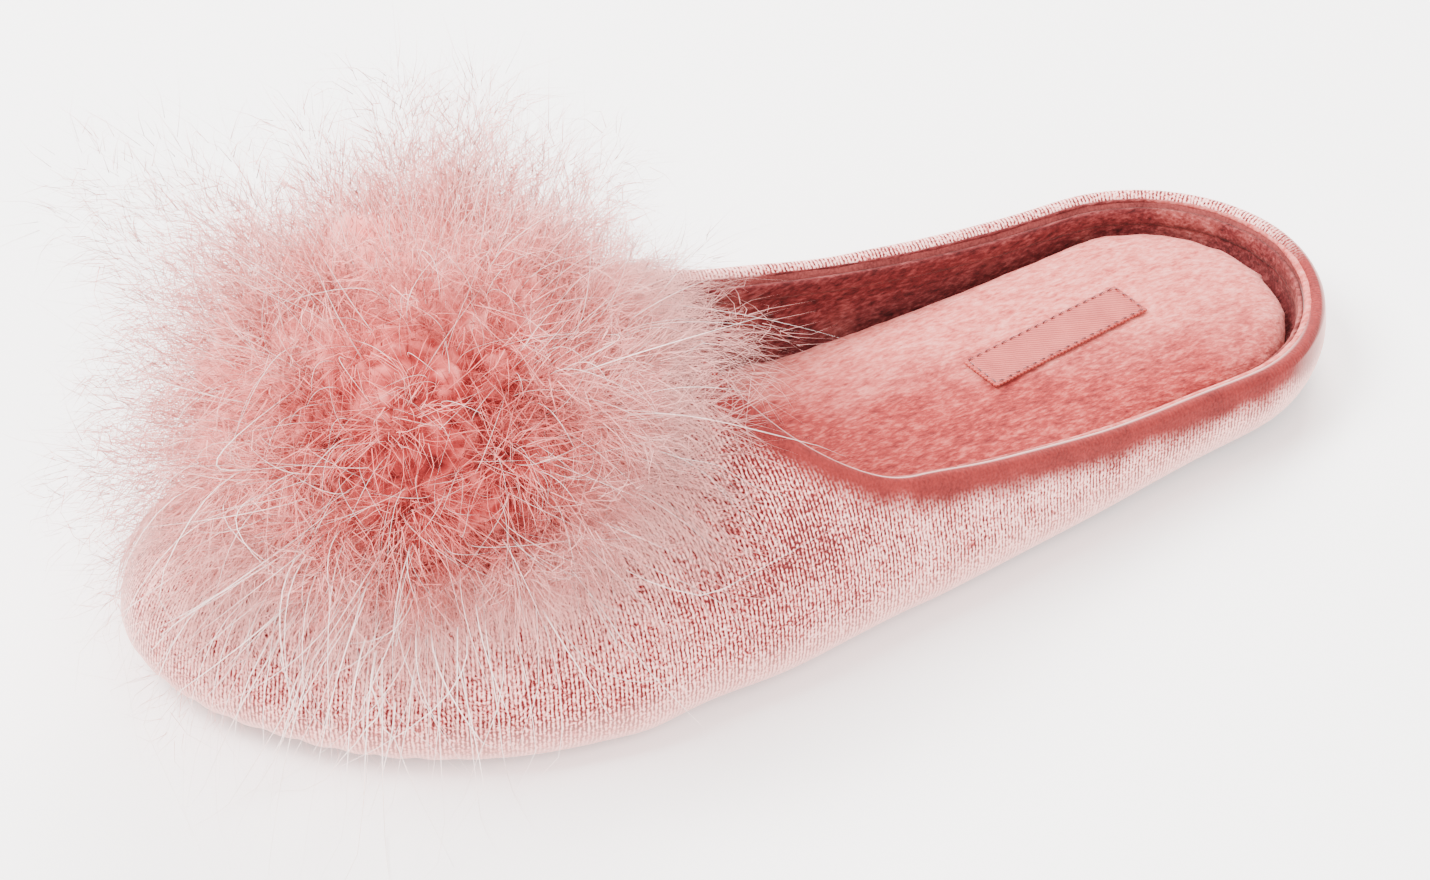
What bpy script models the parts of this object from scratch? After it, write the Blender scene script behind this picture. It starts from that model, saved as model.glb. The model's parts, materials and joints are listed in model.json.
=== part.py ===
"""Pom pom slipper, left foot: a velvet mule with a deep feather pom pom on its vamp.

Metres, +Z up. The toe points to -Y, +X is the outer (little toe) side, and the
origin is on the floor under the middle of the slipper's length.
"""

import math

import bmesh
import bpy
from mathutils import Vector

# Overall sizes of the slipper, an EU 36/37
LENGTH = 0.250
BALL_WIDTH = 0.0938
WAIST_WIDTH = 0.0794
HEEL_WIDTH = 0.0705
TOE_BOX_HEIGHT = 0.0440
INSTEP_HEIGHT = 0.0545
HEEL_FORM_HEIGHT = 0.0400
RIM_HEIGHT = 0.0328
TOE_SPRING = 0.0020

# Walls, layers and the gap that touching pieces keep
WALL = 0.0046
RIM_ROLL = 0.0006
RIM_ROLL_DEPTH = 0.0034
RIM_LEAN = 0.0012
STEP_CLEAR = 0.0010
UNDER_RADIUS = 0.0085
UNDER_INSET = 0.0058
UNDER_LOWEST = 0.0007
SOLE_THICKNESS = 0.0030
SOLE_EDGE_ROUND = 0.0009
SOLE_SLANT = 0.3  # how far the turned velvet comes in over the sole's edge, by its height
INSOLE_FOREFOOT_HEIGHT = 0.0095
INSOLE_HEEL_HEIGHT = 0.0120
INSOLE_CROWN = 0.0012
INSOLE_EDGE_ROUND = 0.0028
INSOLE_EDGE_DROP = 0.0017
INSOLE_EDGE_LOWEST = 0.93  # of the level where the last is widest
CLEARANCE = 0.0003

# Where the forms of the last change, as shares of the length from the toe
BALL_SHARE = 0.32
WAIST_SHARE = 0.60
HEEL_SHARE = 0.86
THROAT_SHARE = 0.418
COLLAR_SHARE = 0.56
SPRING_SHARE = 0.20

# How far the toe's tip leans to the big toe, by the ball width
TOE_SWING_SHARE = -0.17

# Roundness: 2 is an ellipse, more is squarer
TOE_ROUNDNESS = 2.1
HEEL_ROUNDNESS = 1.95
ARCH_ROUNDNESS = 2.3
THROAT_ROUNDNESS = 3.0

# The small woven label on the insole
LABEL_LENGTH = 0.0385
LABEL_WIDTH = 0.0098
LABEL_THICKNESS = 0.0006
LABEL_SHARE = 0.772
LABEL_SIDE_SHIFT = -0.0023
LABEL_TURN = math.radians(7.3)

# The pom pom
POM_RADIUS = 0.0540
POM_SHARE = 0.236
POM_SIDE_SHIFT = -0.0050
POM_RAISE = 0.0075
POM_LOCKS = 120
POM_LOCK_DEPTH_SHARE = 0.24
POM_DROOP = 0.0100
POM_SEAT_GAP = 0.0008
POM_UNEVEN = 0.05
POM_UNEVEN_STEP = 7.3
POM_RINGS = (
    # corners round a lock, angle from its tip by the spacing, turn by lock, depth share
    (5, 0.30, 1.0, 0.62),
    (3, 0.54, 2.4, 1.00),
)

# Faces in each direction
TOE_STEPS = 17
SIDE_STEPS = 15
HEEL_STEPS = 9
WALL_ROWS = 10
UNDER_ROWS = 4
RIM_ROWS = 4
INSOLE_UNDER_ROWS = 3
INSOLE_ROUND_ROWS = 3
LABEL_LONG_STEPS = 8
LABEL_WIDE_STEPS = 3

# Rings inside the outline of a flat face, as shares of the way out
SOLE_RINGS = (0.0, 0.6)
INSOLE_RINGS = (0.8, 0.5, 0.0)

# The last, from toe to heel. Half widths are shares of the width named in the
# third column, and the shift of the centre line is a share of the ball width.
LAST = (
    # station, half width share, of width, centre shift, crown height, as share of
    (0.00, 0.500, BALL_WIDTH, 0.008, 1.00, TOE_BOX_HEIGHT),
    (BALL_SHARE, 0.500, BALL_WIDTH, 0.008, 1.00, TOE_BOX_HEIGHT),
    (0.43, 0.484, BALL_WIDTH, 0.014, 1.00, INSTEP_HEIGHT),
    (WAIST_SHARE, 0.500, WAIST_WIDTH, 0.022, 1.00, INSTEP_HEIGHT),
    (0.72, 0.467, WAIST_WIDTH, 0.006, 0.86, INSTEP_HEIGHT),
    (HEEL_SHARE, 0.500, HEEL_WIDTH, -0.024, 1.00, HEEL_FORM_HEIGHT),
    (1.00, 0.500, HEEL_WIDTH, -0.030, 1.00, HEEL_FORM_HEIGHT),
)

# The collar's rim, from the throat to the heel, over the floor
RIM = (
    # station, height as a share of the rim's at the collar station
    (0.40, 1.26),
    (COLLAR_SHARE, 1.00),
    (0.62, 0.88),
    (0.75, 0.68),
    (0.88, 0.575),
    (1.00, 0.555),
)

# How much longer or shorter the feathers are to each side
POM_LEAN = (
    # towards, x, y, z, change of length
    ("toe and inner side", -0.50, -0.86, 0.00, 0.15),
    ("heel", 0.30, 0.95, 0.00, -0.06),
    ("outer side", 0.92, -0.36, -0.15, -0.12),
)


def clean_scene():
    for thing in list(bpy.data.objects):
        bpy.data.objects.remove(thing, do_unlink=True)


def smooth_row(table, station, value):
    """The value of a table's rows at a station, on a smooth curve through them."""
    last = len(table) - 1
    i = 0
    while i < last - 1 and station > table[i + 1][0]:
        i += 1
    here, there = table[i], table[i + 1]
    before, after = table[max(i - 1, 0)], table[min(i + 2, last)]
    span = there[0] - here[0]
    t = min(max((station - here[0]) / span, 0.0), 1.0)

    def slope(low, high):
        # Flat where the form is widest or narrowest, so that it never overshoots
        rise = (value(high) - value(low)) / (high[0] - low[0])
        left = value(here) - value(low) if low is not here else value(there) - value(here)
        right = value(high) - value(there) if high is not there else left
        return rise if left * right > 0 else 0.0

    start = slope(before, there) if i else 0.0
    end = slope(here, after) if i < last - 1 else 0.0
    limit = 2.5 * (value(there) - value(here)) / span
    start = math.copysign(min(abs(start), abs(limit)), limit) if start else 0.0
    end = math.copysign(min(abs(end), abs(limit)), limit) if end else 0.0
    return (
        (2 * t**3 - 3 * t**2 + 1) * value(here)
        + (t**3 - 2 * t**2 + t) * span * start
        + (3 * t**2 - 2 * t**3) * value(there)
        + (t**3 - t**2) * span * end
    )


def station_of(y):
    return min(max(y / LENGTH + 0.5, 0.0), 1.0)


def y_of(station):
    return (station - 0.5) * LENGTH


def half_width(station):
    inner = min(max(station, BALL_SHARE), HEEL_SHARE)
    return smooth_row(LAST, inner, lambda row: row[1] * row[2])


def centre_x(station):
    shift = smooth_row(LAST, station, lambda row: row[3]) * BALL_WIDTH
    ahead = max(BALL_SHARE - station, 0.0) / BALL_SHARE
    return shift + TOE_SWING_SHARE * BALL_WIDTH * ahead**2


def widest_z():
    return UNDER_LOWEST + UNDER_RADIUS


def crown_rise(station):
    """Height of the last's crown over its widest level."""
    return smooth_row(LAST, station, lambda row: row[4] * row[5]) - widest_z()


def caps(station):
    """How far a station lies into the round toe or heel, each from 0 to 1."""
    toe = max(BALL_SHARE - station, 0.0) / BALL_SHARE
    heel = max(station - HEEL_SHARE, 0.0) / (1.0 - HEEL_SHARE)
    return toe, heel


def reach(x, y):
    """0 on the last's centre line, 1 on its outline, more outside."""
    station = y / LENGTH + 0.5
    across = abs(x - centre_x(min(max(station, 0.0), 1.0))) / half_width(station)
    toe, heel = caps(station)
    if toe > 0:
        return (across**TOE_ROUNDNESS + toe**TOE_ROUNDNESS) ** (1 / TOE_ROUNDNESS)
    if heel > 0:
        return (across**HEEL_ROUNDNESS + heel**HEEL_ROUNDNESS) ** (1 / HEEL_ROUNDNESS)
    return across


def last_z(x, y):
    """Height of the last's outer surface over a place in plan."""
    share = min(reach(x, y), 1.0)
    arch = (1.0 - share**ARCH_ROUNDNESS) ** (1 / ARCH_ROUNDNESS)
    return widest_z() + crown_rise(station_of(y)) * arch


def spring(y):
    """Lift of the toe off the floor."""
    ahead = max(SPRING_SHARE - (y / LENGTH + 0.5), 0.0) / SPRING_SHARE
    return TOE_SPRING * ahead**2


def fill_level(point):
    """Under 1 inside the last, 1 on its surface, more outside."""
    up = max(point.z - widest_z(), 0.0) / crown_rise(station_of(point.y))
    total = reach(point.x, point.y) ** ARCH_ROUNDNESS + up**ARCH_ROUNDNESS
    return total ** (1 / ARCH_ROUNDNESS)


def outward(point):
    """Unit normal of the last through a point, from small differences."""
    step = 1e-5
    slopes = []
    for axis in range(3):
        ahead, behind = point.copy(), point.copy()
        ahead[axis] += step
        behind[axis] -= step
        slopes.append(fill_level(ahead) - fill_level(behind))
    return Vector(slopes).normalized()


def outline_place(station, side):
    """A place in plan on the last's outline."""
    toe, heel = caps(station)
    width = half_width(station)
    if toe > 0:
        width *= (1 - min(toe, 1.0) ** TOE_ROUNDNESS) ** (1 / TOE_ROUNDNESS)
    if heel > 0:
        width *= (1 - min(heel, 1.0) ** HEEL_ROUNDNESS) ** (1 / HEEL_ROUNDNESS)
    return Vector((centre_x(station) + side * width, y_of(station), 0.0))


def rim_height(station):
    return smooth_row(RIM, station, lambda row: row[1]) * RIM_HEIGHT


def collar_reach(station):
    """How near the collar's edge lies to the outline, from its height and the throat."""
    rise = (rim_height(station) - WALL / 2 - widest_z()) / crown_rise(station)
    at_wall = (1.0 - rise**ARCH_ROUNDNESS) ** (1 / ARCH_ROUNDNESS)
    ahead = max(COLLAR_SHARE - station, 0.0) / (COLLAR_SHARE - THROAT_SHARE)
    around = max(1.0 - ahead**THROAT_ROUNDNESS, 0.0) ** (1 / THROAT_ROUNDNESS)
    return at_wall * around


def evenly(place, low, high, count, fine=400):
    """Values of a curve's parameter that lie the same length apart."""
    values = [low + (high - low) * i / fine for i in range(fine + 1)]
    lengths = [0.0]
    for a, b in zip(values, values[1:]):
        lengths.append(lengths[-1] + (place(b) - place(a)).length)
    found, j = [], 0
    for i in range(count + 1):
        wanted = lengths[-1] * i / count
        while j < fine - 1 and lengths[j + 1] < wanted:
            j += 1
        gap = lengths[j + 1] - lengths[j]
        t = (wanted - lengths[j]) / gap if gap else 0.0
        found.append(values[j] + (values[j + 1] - values[j]) * t)
    return found


def cap_station(angle, toe):
    """Station of an angle round the toe's or heel's cap, 0 at its tip."""
    if toe:
        return BALL_SHARE - BALL_SHARE * math.cos(angle) ** (2 / TOE_ROUNDNESS)
    return HEEL_SHARE + (1 - HEEL_SHARE) * math.cos(angle) ** (2 / HEEL_ROUNDNESS)


def side_stations():
    """Stations of one side from the toe's tip to the heel's tip."""
    quarter = math.pi / 2
    toe = evenly(lambda a: outline_place(cap_station(a, True), 1), 0, quarter, TOE_STEPS)
    heel = evenly(lambda a: outline_place(cap_station(a, False), 1), quarter, 0, HEEL_STEPS)
    sides = [
        BALL_SHARE + (HEEL_SHARE - BALL_SHARE) * i / SIDE_STEPS
        for i in range(1, SIDE_STEPS)
    ]
    return [cap_station(a, True) for a in toe] + sides + [cap_station(a, False) for a in heel]


def throat_place(station, side):
    """A place in plan on the collar's edge."""
    centre = centre_x(station)
    outer = outline_place(station, side)
    if station > HEEL_SHARE:
        middle = Vector((centre_x(HEEL_SHARE), y_of(HEEL_SHARE), 0.0))
        return middle + (outer - middle) * collar_reach(station)
    return Vector((centre + (outer.x - centre) * collar_reach(station), outer.y, 0.0))


def collar_places():
    """The collar's edge in plan, one place for each place of the outline."""
    stations = side_stations()
    front = [i for i, s in enumerate(stations) if s < COLLAR_SHARE]
    count = len(front)
    quarter = math.pi / 2

    def along(angle):
        ahead = math.cos(angle) ** (2 / THROAT_ROUNDNESS)
        station = COLLAR_SHARE - (COLLAR_SHARE - THROAT_SHARE) * ahead
        return throat_place(station, 1), station

    angles = evenly(lambda a: along(a)[0], 0, quarter, count)
    pairs = []
    for i, station in enumerate(stations):
        own = along(angles[i])[1] if i < count else station
        pairs.append((station, own))
    return pairs


def loop_of(place_on_side):
    """A closed ring from a function of index and side, toe tip first."""
    count = len(side_stations())
    ring = [place_on_side(i, 1) for i in range(count)]
    ring += [place_on_side(i, -1) for i in range(count - 2, 0, -1)]
    return ring


def cut_short(path, length):
    """A path with a length cut off its end and its places drawn together to suit."""
    lengths = [0.0]
    for a, b in zip(path, path[1:]):
        lengths.append(lengths[-1] + (b - a).length)
    shrink = (lengths[-1] - length) / lengths[-2]
    found = []
    for here in lengths[:-1]:
        wanted = here * shrink
        j = max(i for i in range(len(path) - 1) if lengths[i] <= wanted)
        t = (wanted - lengths[j]) / (lengths[j + 1] - lengths[j])
        found.append(path[j].lerp(path[j + 1], t))
    return found


def upper_profile(station, own_station, side):
    """The upper's wall at one place of the outline, as a closed profile in space."""
    start = outline_place(station, side)
    end = throat_place(own_station, side)
    level = start + Vector((0, 0, widest_z()))
    flat_out = outward(level + Vector((0, 0, 1e-6)))
    flat_out.z = 0.0
    flat_out.normalize()
    lowest_angle = math.acos(1 - UNDER_INSET / UNDER_RADIUS)

    outer, normals = [], []
    for i in range(UNDER_ROWS):
        angle = lowest_angle * (1 - i / UNDER_ROWS)
        normal = flat_out * math.cos(angle) - Vector((0, 0, math.sin(angle)))
        outer.append(level - flat_out * UNDER_RADIUS + normal * UNDER_RADIUS)
        normals.append(normal)
    for i in range(WALL_ROWS + 1):
        share = 1 - math.cos(math.pi / 2 * i / WALL_ROWS)
        place = start.lerp(end, share)
        place.z = last_z(place.x, place.y) if i else widest_z()
        outer.append(place)
        normals.append(outward(place) if i else flat_out)

    edge, edge_normal = outer[-1], normals[-1]
    rising = (edge - outer[-2]).normalized()
    rising = (rising - edge_normal * rising.dot(edge_normal)).normalized()
    thick = WALL + RIM_ROLL
    middle = edge - edge_normal * thick / 2 - rising * RIM_LEAN
    rim = []
    for i in range(1, RIM_ROWS):
        turn = math.pi * i / RIM_ROWS
        across = edge_normal * math.cos(turn) + rising * math.sin(turn)
        rim.append(middle + across * thick / 2 + rising * RIM_LEAN * math.cos(turn))
    inner_edge = middle - edge_normal * thick / 2 - rising * RIM_LEAN
    roll = [inner_edge, inner_edge - rising * (RIM_ROLL_DEPTH - thick / 2)]
    step = roll[1] + edge_normal * RIM_ROLL - rising * RIM_ROLL
    inner = [place - normal * WALL for place, normal in zip(outer, normals)]
    below_edge = (edge - normals[-1] * WALL - step).length + STEP_CLEAR
    inner = cut_short(inner, below_edge)
    return outer + rim + roll + [step] + inner[::-1]


def mesh_object(name, bm, material, collection):
    bmesh.ops.remove_doubles(bm, verts=bm.verts, dist=1e-6)
    bmesh.ops.recalc_face_normals(bm, faces=bm.faces)
    mesh = bpy.data.meshes.new(name)
    bm.to_mesh(mesh)
    bm.free()
    mesh.shade_smooth()
    mesh.set_sharp_from_angle(angle=math.radians(40))
    thing = bpy.data.objects.new(name, mesh)
    thing.data.materials.append(material)
    collection.objects.link(thing)
    return thing


def skin(bm, rings, closed_across):
    """Faces between rings of the same count, and between last and first if closed."""
    rows = [[bm.verts.new(place) for place in ring] for ring in rings]
    count = len(rows[0])
    pairs = list(zip(rows, rows[1:]))
    if closed_across:
        pairs.append((rows[-1], rows[0]))
    for low, high in pairs:
        for i in range(count):
            j = (i + 1) % count
            bm.faces.new([low[i], low[j], high[j], high[i]])


def build_upper(material, collection):
    """The velvet upper: vamp, quarters and low heel wall in one hollow piece."""
    pairs = collar_places()
    profiles = loop_of(lambda i, side: upper_profile(pairs[i][0], pairs[i][1], side))
    for profile in profiles:
        for place in profile:
            place.z += spring(place.y)
    bm = bmesh.new()
    rings = [list(ring) for ring in zip(*profiles)]
    skin(bm, rings, closed_across=True)
    return mesh_object("upper", bm, material, collection)


def spine_place(station):
    inner = min(max(station, BALL_SHARE), HEEL_SHARE)
    return Vector((centre_x(inner), y_of(inner), 0.0))


def inset_ring(inset, share=1.0):
    """The outline pulled in by an inset, then by a share towards the centre line."""
    stations = side_stations()

    def place(i, side):
        on_edge = outline_place(stations[i], side)
        normal = outward(on_edge + Vector((0, 0, widest_z() + 1e-6)))
        normal.z = 0.0
        pulled = on_edge - normal.normalized() * inset
        return spine_place(stations[i]).lerp(pulled, share)

    return loop_of(place)


def ring_at(inset, height, share=1.0):
    ring = inset_ring(inset, share)
    for place in ring:
        place.z = height(place) + spring(place.y)
    return ring


def build_outsole(material, collection):
    """The thin sole, set in under the turned edge of the velvet."""
    slant = (SOLE_THICKNESS - UNDER_LOWEST) * SOLE_SLANT
    edge = UNDER_INSET + slant + CLEARANCE
    rings = [ring_at(edge, lambda place: 0.0, share) for share in SOLE_RINGS]
    rings.append(ring_at(edge + SOLE_EDGE_ROUND, lambda place: 0.0))
    rings.append(ring_at(edge, lambda place: SOLE_EDGE_ROUND))
    rings.append(ring_at(edge, lambda place: SOLE_THICKNESS))
    rings += [ring_at(edge, lambda place: SOLE_THICKNESS, share) for share in SOLE_RINGS[::-1]]
    bm = bmesh.new()
    skin(bm, rings, closed_across=False)
    return mesh_object("outsole", bm, material, collection)


def insole_height(place):
    """Top of the insole over the floor, without the toe's spring."""
    t = min(max((station_of(place.y) - BALL_SHARE) / (HEEL_SHARE - BALL_SHARE), 0), 1)
    ease = t * t * (3 - 2 * t)
    rim = INSOLE_FOREFOOT_HEIGHT + (INSOLE_HEEL_HEIGHT - INSOLE_FOREFOOT_HEIGHT) * ease
    return rim + INSOLE_CROWN * (1 - min(reach(place.x, place.y), 1.0) ** 2)


def build_insole(material, collection):
    """The padded insole, from toe to heel inside the upper's wall."""
    bottom = SOLE_THICKNESS + CLEARANCE
    inner_radius = UNDER_RADIUS - WALL - CLEARANCE
    rounding = INSOLE_EDGE_ROUND
    lowest_angle = math.acos(1 - UNDER_INSET / UNDER_RADIUS)
    foot_inset = UNDER_RADIUS - inner_radius * math.cos(lowest_angle) + CLEARANCE
    rings = [ring_at(foot_inset, lambda place: bottom, share) for share in (0.0, 1.0)]
    for i in range(INSOLE_UNDER_ROWS):
        angle = lowest_angle * (1 - i / INSOLE_UNDER_ROWS)
        inset = UNDER_RADIUS - inner_radius * math.cos(angle)
        height = widest_z() - inner_radius * math.sin(angle)
        rings.append(ring_at(inset, lambda place, h=height: h))
    side_inset = UNDER_RADIUS - inner_radius
    lowest = widest_z() * INSOLE_EDGE_LOWEST
    for i in range(INSOLE_ROUND_ROWS + 1):
        turn = math.pi / 2 * i / INSOLE_ROUND_ROWS
        inset = side_inset + rounding * (1 - math.cos(turn))
        drop = INSOLE_EDGE_DROP * (1 - math.sin(turn))
        rings.append(ring_at(inset, lambda place, d=drop: max(insole_height(place) - d, lowest)))
    for share in INSOLE_RINGS:
        rings.append(ring_at(side_inset + rounding, insole_height, share))
    bm = bmesh.new()
    skin(bm, rings, closed_across=False)
    return mesh_object("insole", bm, material, collection)


def build_label(material, collection):
    """The blank woven label, laid on the heel of the insole."""
    middle = Vector((LABEL_SIDE_SHIFT + centre_x(LABEL_SHARE), y_of(LABEL_SHARE), 0.0))
    along = Vector((math.sin(-LABEL_TURN), math.cos(LABEL_TURN), 0.0))
    across = Vector((along.y, -along.x, 0.0))
    bm = bmesh.new()
    bmesh.ops.create_grid(
        bm, x_segments=LABEL_LONG_STEPS, y_segments=LABEL_WIDE_STEPS, size=0.5
    )
    for vert in bm.verts:
        place = middle + along * vert.co.x * LABEL_LENGTH + across * vert.co.y * LABEL_WIDTH
        place.z = insole_height(place) + CLEARANCE
        vert.co = place
    base = list(bm.faces)
    raised = bmesh.ops.extrude_face_region(bm, geom=base)
    for part in raised["geom"]:
        if isinstance(part, bmesh.types.BMVert):
            part.co.z += LABEL_THICKNESS
    return mesh_object("insole_label", bm, material, collection)


def sphere_spots(count):
    """Evenly spread directions, on a golden spiral."""
    golden = math.pi * (3 - math.sqrt(5))
    spots = []
    for i in range(count):
        z = 1 - 2 * (i + 0.5) / count
        flat = math.sqrt(1 - z * z)
        spots.append(Vector((flat * math.cos(golden * i), flat * math.sin(golden * i), z)))
    return spots


def ring_round(direction, angle, count, turn):
    """Directions on a small circle round a direction."""
    side = direction.orthogonal().normalized()
    other = direction.cross(side)
    ring = []
    for i in range(count):
        a = turn + 2 * math.pi * i / count
        offset = side * math.cos(a) + other * math.sin(a)
        ring.append((direction * math.cos(angle) + offset * math.sin(angle)).normalized())
    return ring


def seat_margin(place):
    """How far a place stands over the pom pom's seat on the velvet, and which way is out."""
    normal = outward(place)
    probe = 1e-4
    level = fill_level(place)
    rate = (fill_level(place + normal * probe) - level) / probe
    return (level - 1.0) / rate - POM_SEAT_GAP, normal


def reach_of_lock(middle, direction, radius):
    """The length of a lock, which ends early where it meets the velvet."""
    steps = 40
    for i in range(1, steps + 1):
        place = middle + direction * radius * i / steps
        if fill_level(place) < 1.0:
            return radius * (i - 1) / steps
    return radius


def lift_off_upper(bm):
    """Moves the corners of each face that dips under the seat out to the seat."""
    rounds, near_level, allowed_dip = 12, 1.1, 1e-5
    for _ in range(rounds):
        moved = 0
        for face in bm.faces:
            corners = [vert.co for vert in face.verts]
            spots = [sum(corners, Vector()) / 3]
            spots += [(a + b) / 2 for a, b in zip(corners, corners[1:] + corners[:1])]
            spots += [corner.copy() for corner in corners]
            for spot in spots:
                if fill_level(spot) > near_level:
                    continue
                margin, normal = seat_margin(spot)
                if margin < -allowed_dip:
                    moved += 1
                    for vert in face.verts:
                        vert.co -= normal * margin
        if not moved:
            break


def build_pompom(material, collection):
    """The feather pom pom: one body with pointed locks all round, seated on the vamp."""
    root = Vector((centre_x(POM_SHARE) + POM_SIDE_SHIFT, y_of(POM_SHARE), 0.0))
    root.z = last_z(root.x, root.y)
    middle = root + outward(root) * POM_RAISE
    spacing = math.sqrt(4 * math.pi / POM_LOCKS)

    kinds = []
    for i, tip in enumerate(sphere_spots(POM_LOCKS)):
        kinds.append((tip, 1.0 + POM_UNEVEN * math.sin(POM_UNEVEN_STEP * i)))
        for count, angle, turn, depth in POM_RINGS:
            for direction in ring_round(tip, spacing * angle, count, i * turn):
                kinds.append((direction, 1.0 - POM_LOCK_DEPTH_SHARE * depth))

    bm = bmesh.new()
    corners = [bm.verts.new(direction) for direction, _ in kinds]
    bmesh.ops.convex_hull(bm, input=bm.verts)
    for vert, (direction, share) in zip(corners, kinds):
        for _, x, y, z, change in POM_LEAN:
            share *= 1 + change * max(direction.dot(Vector((x, y, z)).normalized()), 0.0)
        radius = reach_of_lock(middle, direction, POM_RADIUS * share)
        vert.co = middle + direction * radius
        vert.co.z -= POM_DROOP * (1 - direction.z**2) * (radius / POM_RADIUS) ** 4
    lift_off_upper(bm)
    for vert in bm.verts:
        vert.co.z += spring(vert.co.y)
    return mesh_object("pompom", bm, material, collection)


def material_of(name, colour, roughness):
    material = bpy.data.materials.new(name)
    material.use_nodes = True
    shader = material.node_tree.nodes["Principled BSDF"]
    shader.inputs["Base Color"].default_value = (*colour, 1.0)
    shader.inputs["Roughness"].default_value = roughness
    shader.inputs["Metallic"].default_value = 0.0
    material.diffuse_color = (*colour, 1.0)
    return material


def main():
    clean_scene()
    slipper = bpy.data.collections.new("pom_pom_slipper")
    bpy.context.scene.collection.children.link(slipper)
    velvet = material_of("rose_velvet", (0.62, 0.24, 0.22), 0.8)
    plush = material_of("coral_plush", (0.60, 0.16, 0.14), 0.9)
    rubber = material_of("sole_fabric", (0.45, 0.22, 0.20), 0.9)
    feather = material_of("pink_feather", (0.83, 0.44, 0.40), 0.9)
    satin = material_of("label_satin", (0.55, 0.19, 0.17), 0.5)
    build_outsole(rubber, slipper)
    build_insole(plush, slipper)
    build_upper(velvet, slipper)
    build_label(satin, slipper)
    build_pompom(feather, slipper)


main()
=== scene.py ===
# %% [markdown]
# A slipper with a feather pom pom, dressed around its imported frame.
# The frame is the slipper's construction: sole, insole, hollow upper, label and a plain body
# for the pom pom, all at their real size in metres. Here each of them gets the finish that a
# hand would feel: ribbed velvet, brushed plush, woven satin and marabou feathers.
# The first lines load that frame and remember the box that it fills.

# %% Load the frame
import json
import math

import bmesh
import bpy
import numpy as np
from mathutils import Matrix, Vector, kdtree, noise
from mathutils.bvhtree import BVHTree
from mathutils.geometry import convex_hull_2d

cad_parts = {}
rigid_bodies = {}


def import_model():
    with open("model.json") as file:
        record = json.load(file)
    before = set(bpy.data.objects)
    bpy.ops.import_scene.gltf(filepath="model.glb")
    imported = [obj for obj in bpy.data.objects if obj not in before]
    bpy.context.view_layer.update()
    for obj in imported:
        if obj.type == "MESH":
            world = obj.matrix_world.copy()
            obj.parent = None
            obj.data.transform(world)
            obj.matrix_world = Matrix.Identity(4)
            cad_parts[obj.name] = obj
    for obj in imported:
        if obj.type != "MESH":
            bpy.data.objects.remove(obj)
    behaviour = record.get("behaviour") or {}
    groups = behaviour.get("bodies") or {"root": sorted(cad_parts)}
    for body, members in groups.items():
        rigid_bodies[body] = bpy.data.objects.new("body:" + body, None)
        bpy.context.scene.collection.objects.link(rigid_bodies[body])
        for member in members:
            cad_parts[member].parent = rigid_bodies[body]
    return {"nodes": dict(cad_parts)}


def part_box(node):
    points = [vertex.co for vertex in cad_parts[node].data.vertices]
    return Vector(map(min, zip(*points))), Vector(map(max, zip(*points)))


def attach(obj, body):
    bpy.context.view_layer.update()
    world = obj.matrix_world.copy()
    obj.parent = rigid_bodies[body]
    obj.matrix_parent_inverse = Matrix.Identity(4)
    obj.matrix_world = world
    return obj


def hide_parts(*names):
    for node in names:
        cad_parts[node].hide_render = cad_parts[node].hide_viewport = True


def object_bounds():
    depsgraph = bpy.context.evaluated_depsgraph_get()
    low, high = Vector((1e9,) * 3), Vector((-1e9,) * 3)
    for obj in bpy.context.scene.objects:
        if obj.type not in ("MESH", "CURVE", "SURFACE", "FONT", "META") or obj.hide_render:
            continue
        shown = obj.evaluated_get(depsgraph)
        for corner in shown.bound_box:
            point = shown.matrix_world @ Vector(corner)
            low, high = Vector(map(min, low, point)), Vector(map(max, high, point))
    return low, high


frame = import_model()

MM = 0.001
cad_low, cad_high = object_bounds()
print("frame box", [round(v / MM, 1) for v in (*cad_low, *cad_high)])

# %% [markdown]
# Operators act on whatever is selected, and the frame arrives selected. So one helper clears
# the selection and picks the piece to work on, and another switches to edit mode and back.
# Most pieces here start as a copy of a frame node, because the slipper's form is already right
# there: the copy's loose triangles are welded and turned back into the quads they came from.

# %% Helpers for modelling
def only(*things):
    """Selects these objects alone, with the first one active."""
    bpy.ops.object.select_all(action="DESELECT")
    for thing in things:
        thing.select_set(True)
    bpy.context.view_layer.objects.active = things[0]


def edit(thing, *steps):
    """Runs some steps in edit mode, one after another."""
    only(thing)
    bpy.ops.object.mode_set(mode="EDIT")
    for step in steps:
        step()
    bpy.ops.object.mode_set(mode="OBJECT")


def finish_with(thing, kind, **settings):
    """Adds a modifier, gives it its settings and applies it."""
    only(thing)
    bpy.ops.object.modifier_add(type=kind)
    modifier = thing.modifiers[-1]
    for name, value in settings.items():
        setattr(modifier, name, value)
    bpy.ops.object.modifier_apply(modifier=modifier.name)


def weld_to_quads():
    bpy.ops.mesh.select_all(action="SELECT")
    bpy.ops.mesh.remove_doubles(threshold=0.01 * MM)
    bpy.ops.mesh.customdata_custom_splitnormals_clear()
    bpy.ops.mesh.tris_convert_to_quads(face_threshold=math.radians(60), shape_threshold=math.radians(60))
    bpy.ops.mesh.select_all(action="DESELECT")


def copy_of(node, name):
    """A free copy of a frame node, as a clean quad mesh."""
    piece = bpy.data.objects.new(name, frame["nodes"][node].data.copy())
    piece.data.name = name
    piece.data.materials.clear()
    bpy.context.scene.collection.objects.link(piece)
    edit(piece, weld_to_quads)
    return piece


def points_of(thing):
    """The corners of a mesh as rows of x, y, z."""
    flat = np.empty(len(thing.data.vertices) * 3)
    thing.data.vertices.foreach_get("co", flat)
    return flat.reshape(-1, 3)


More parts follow.
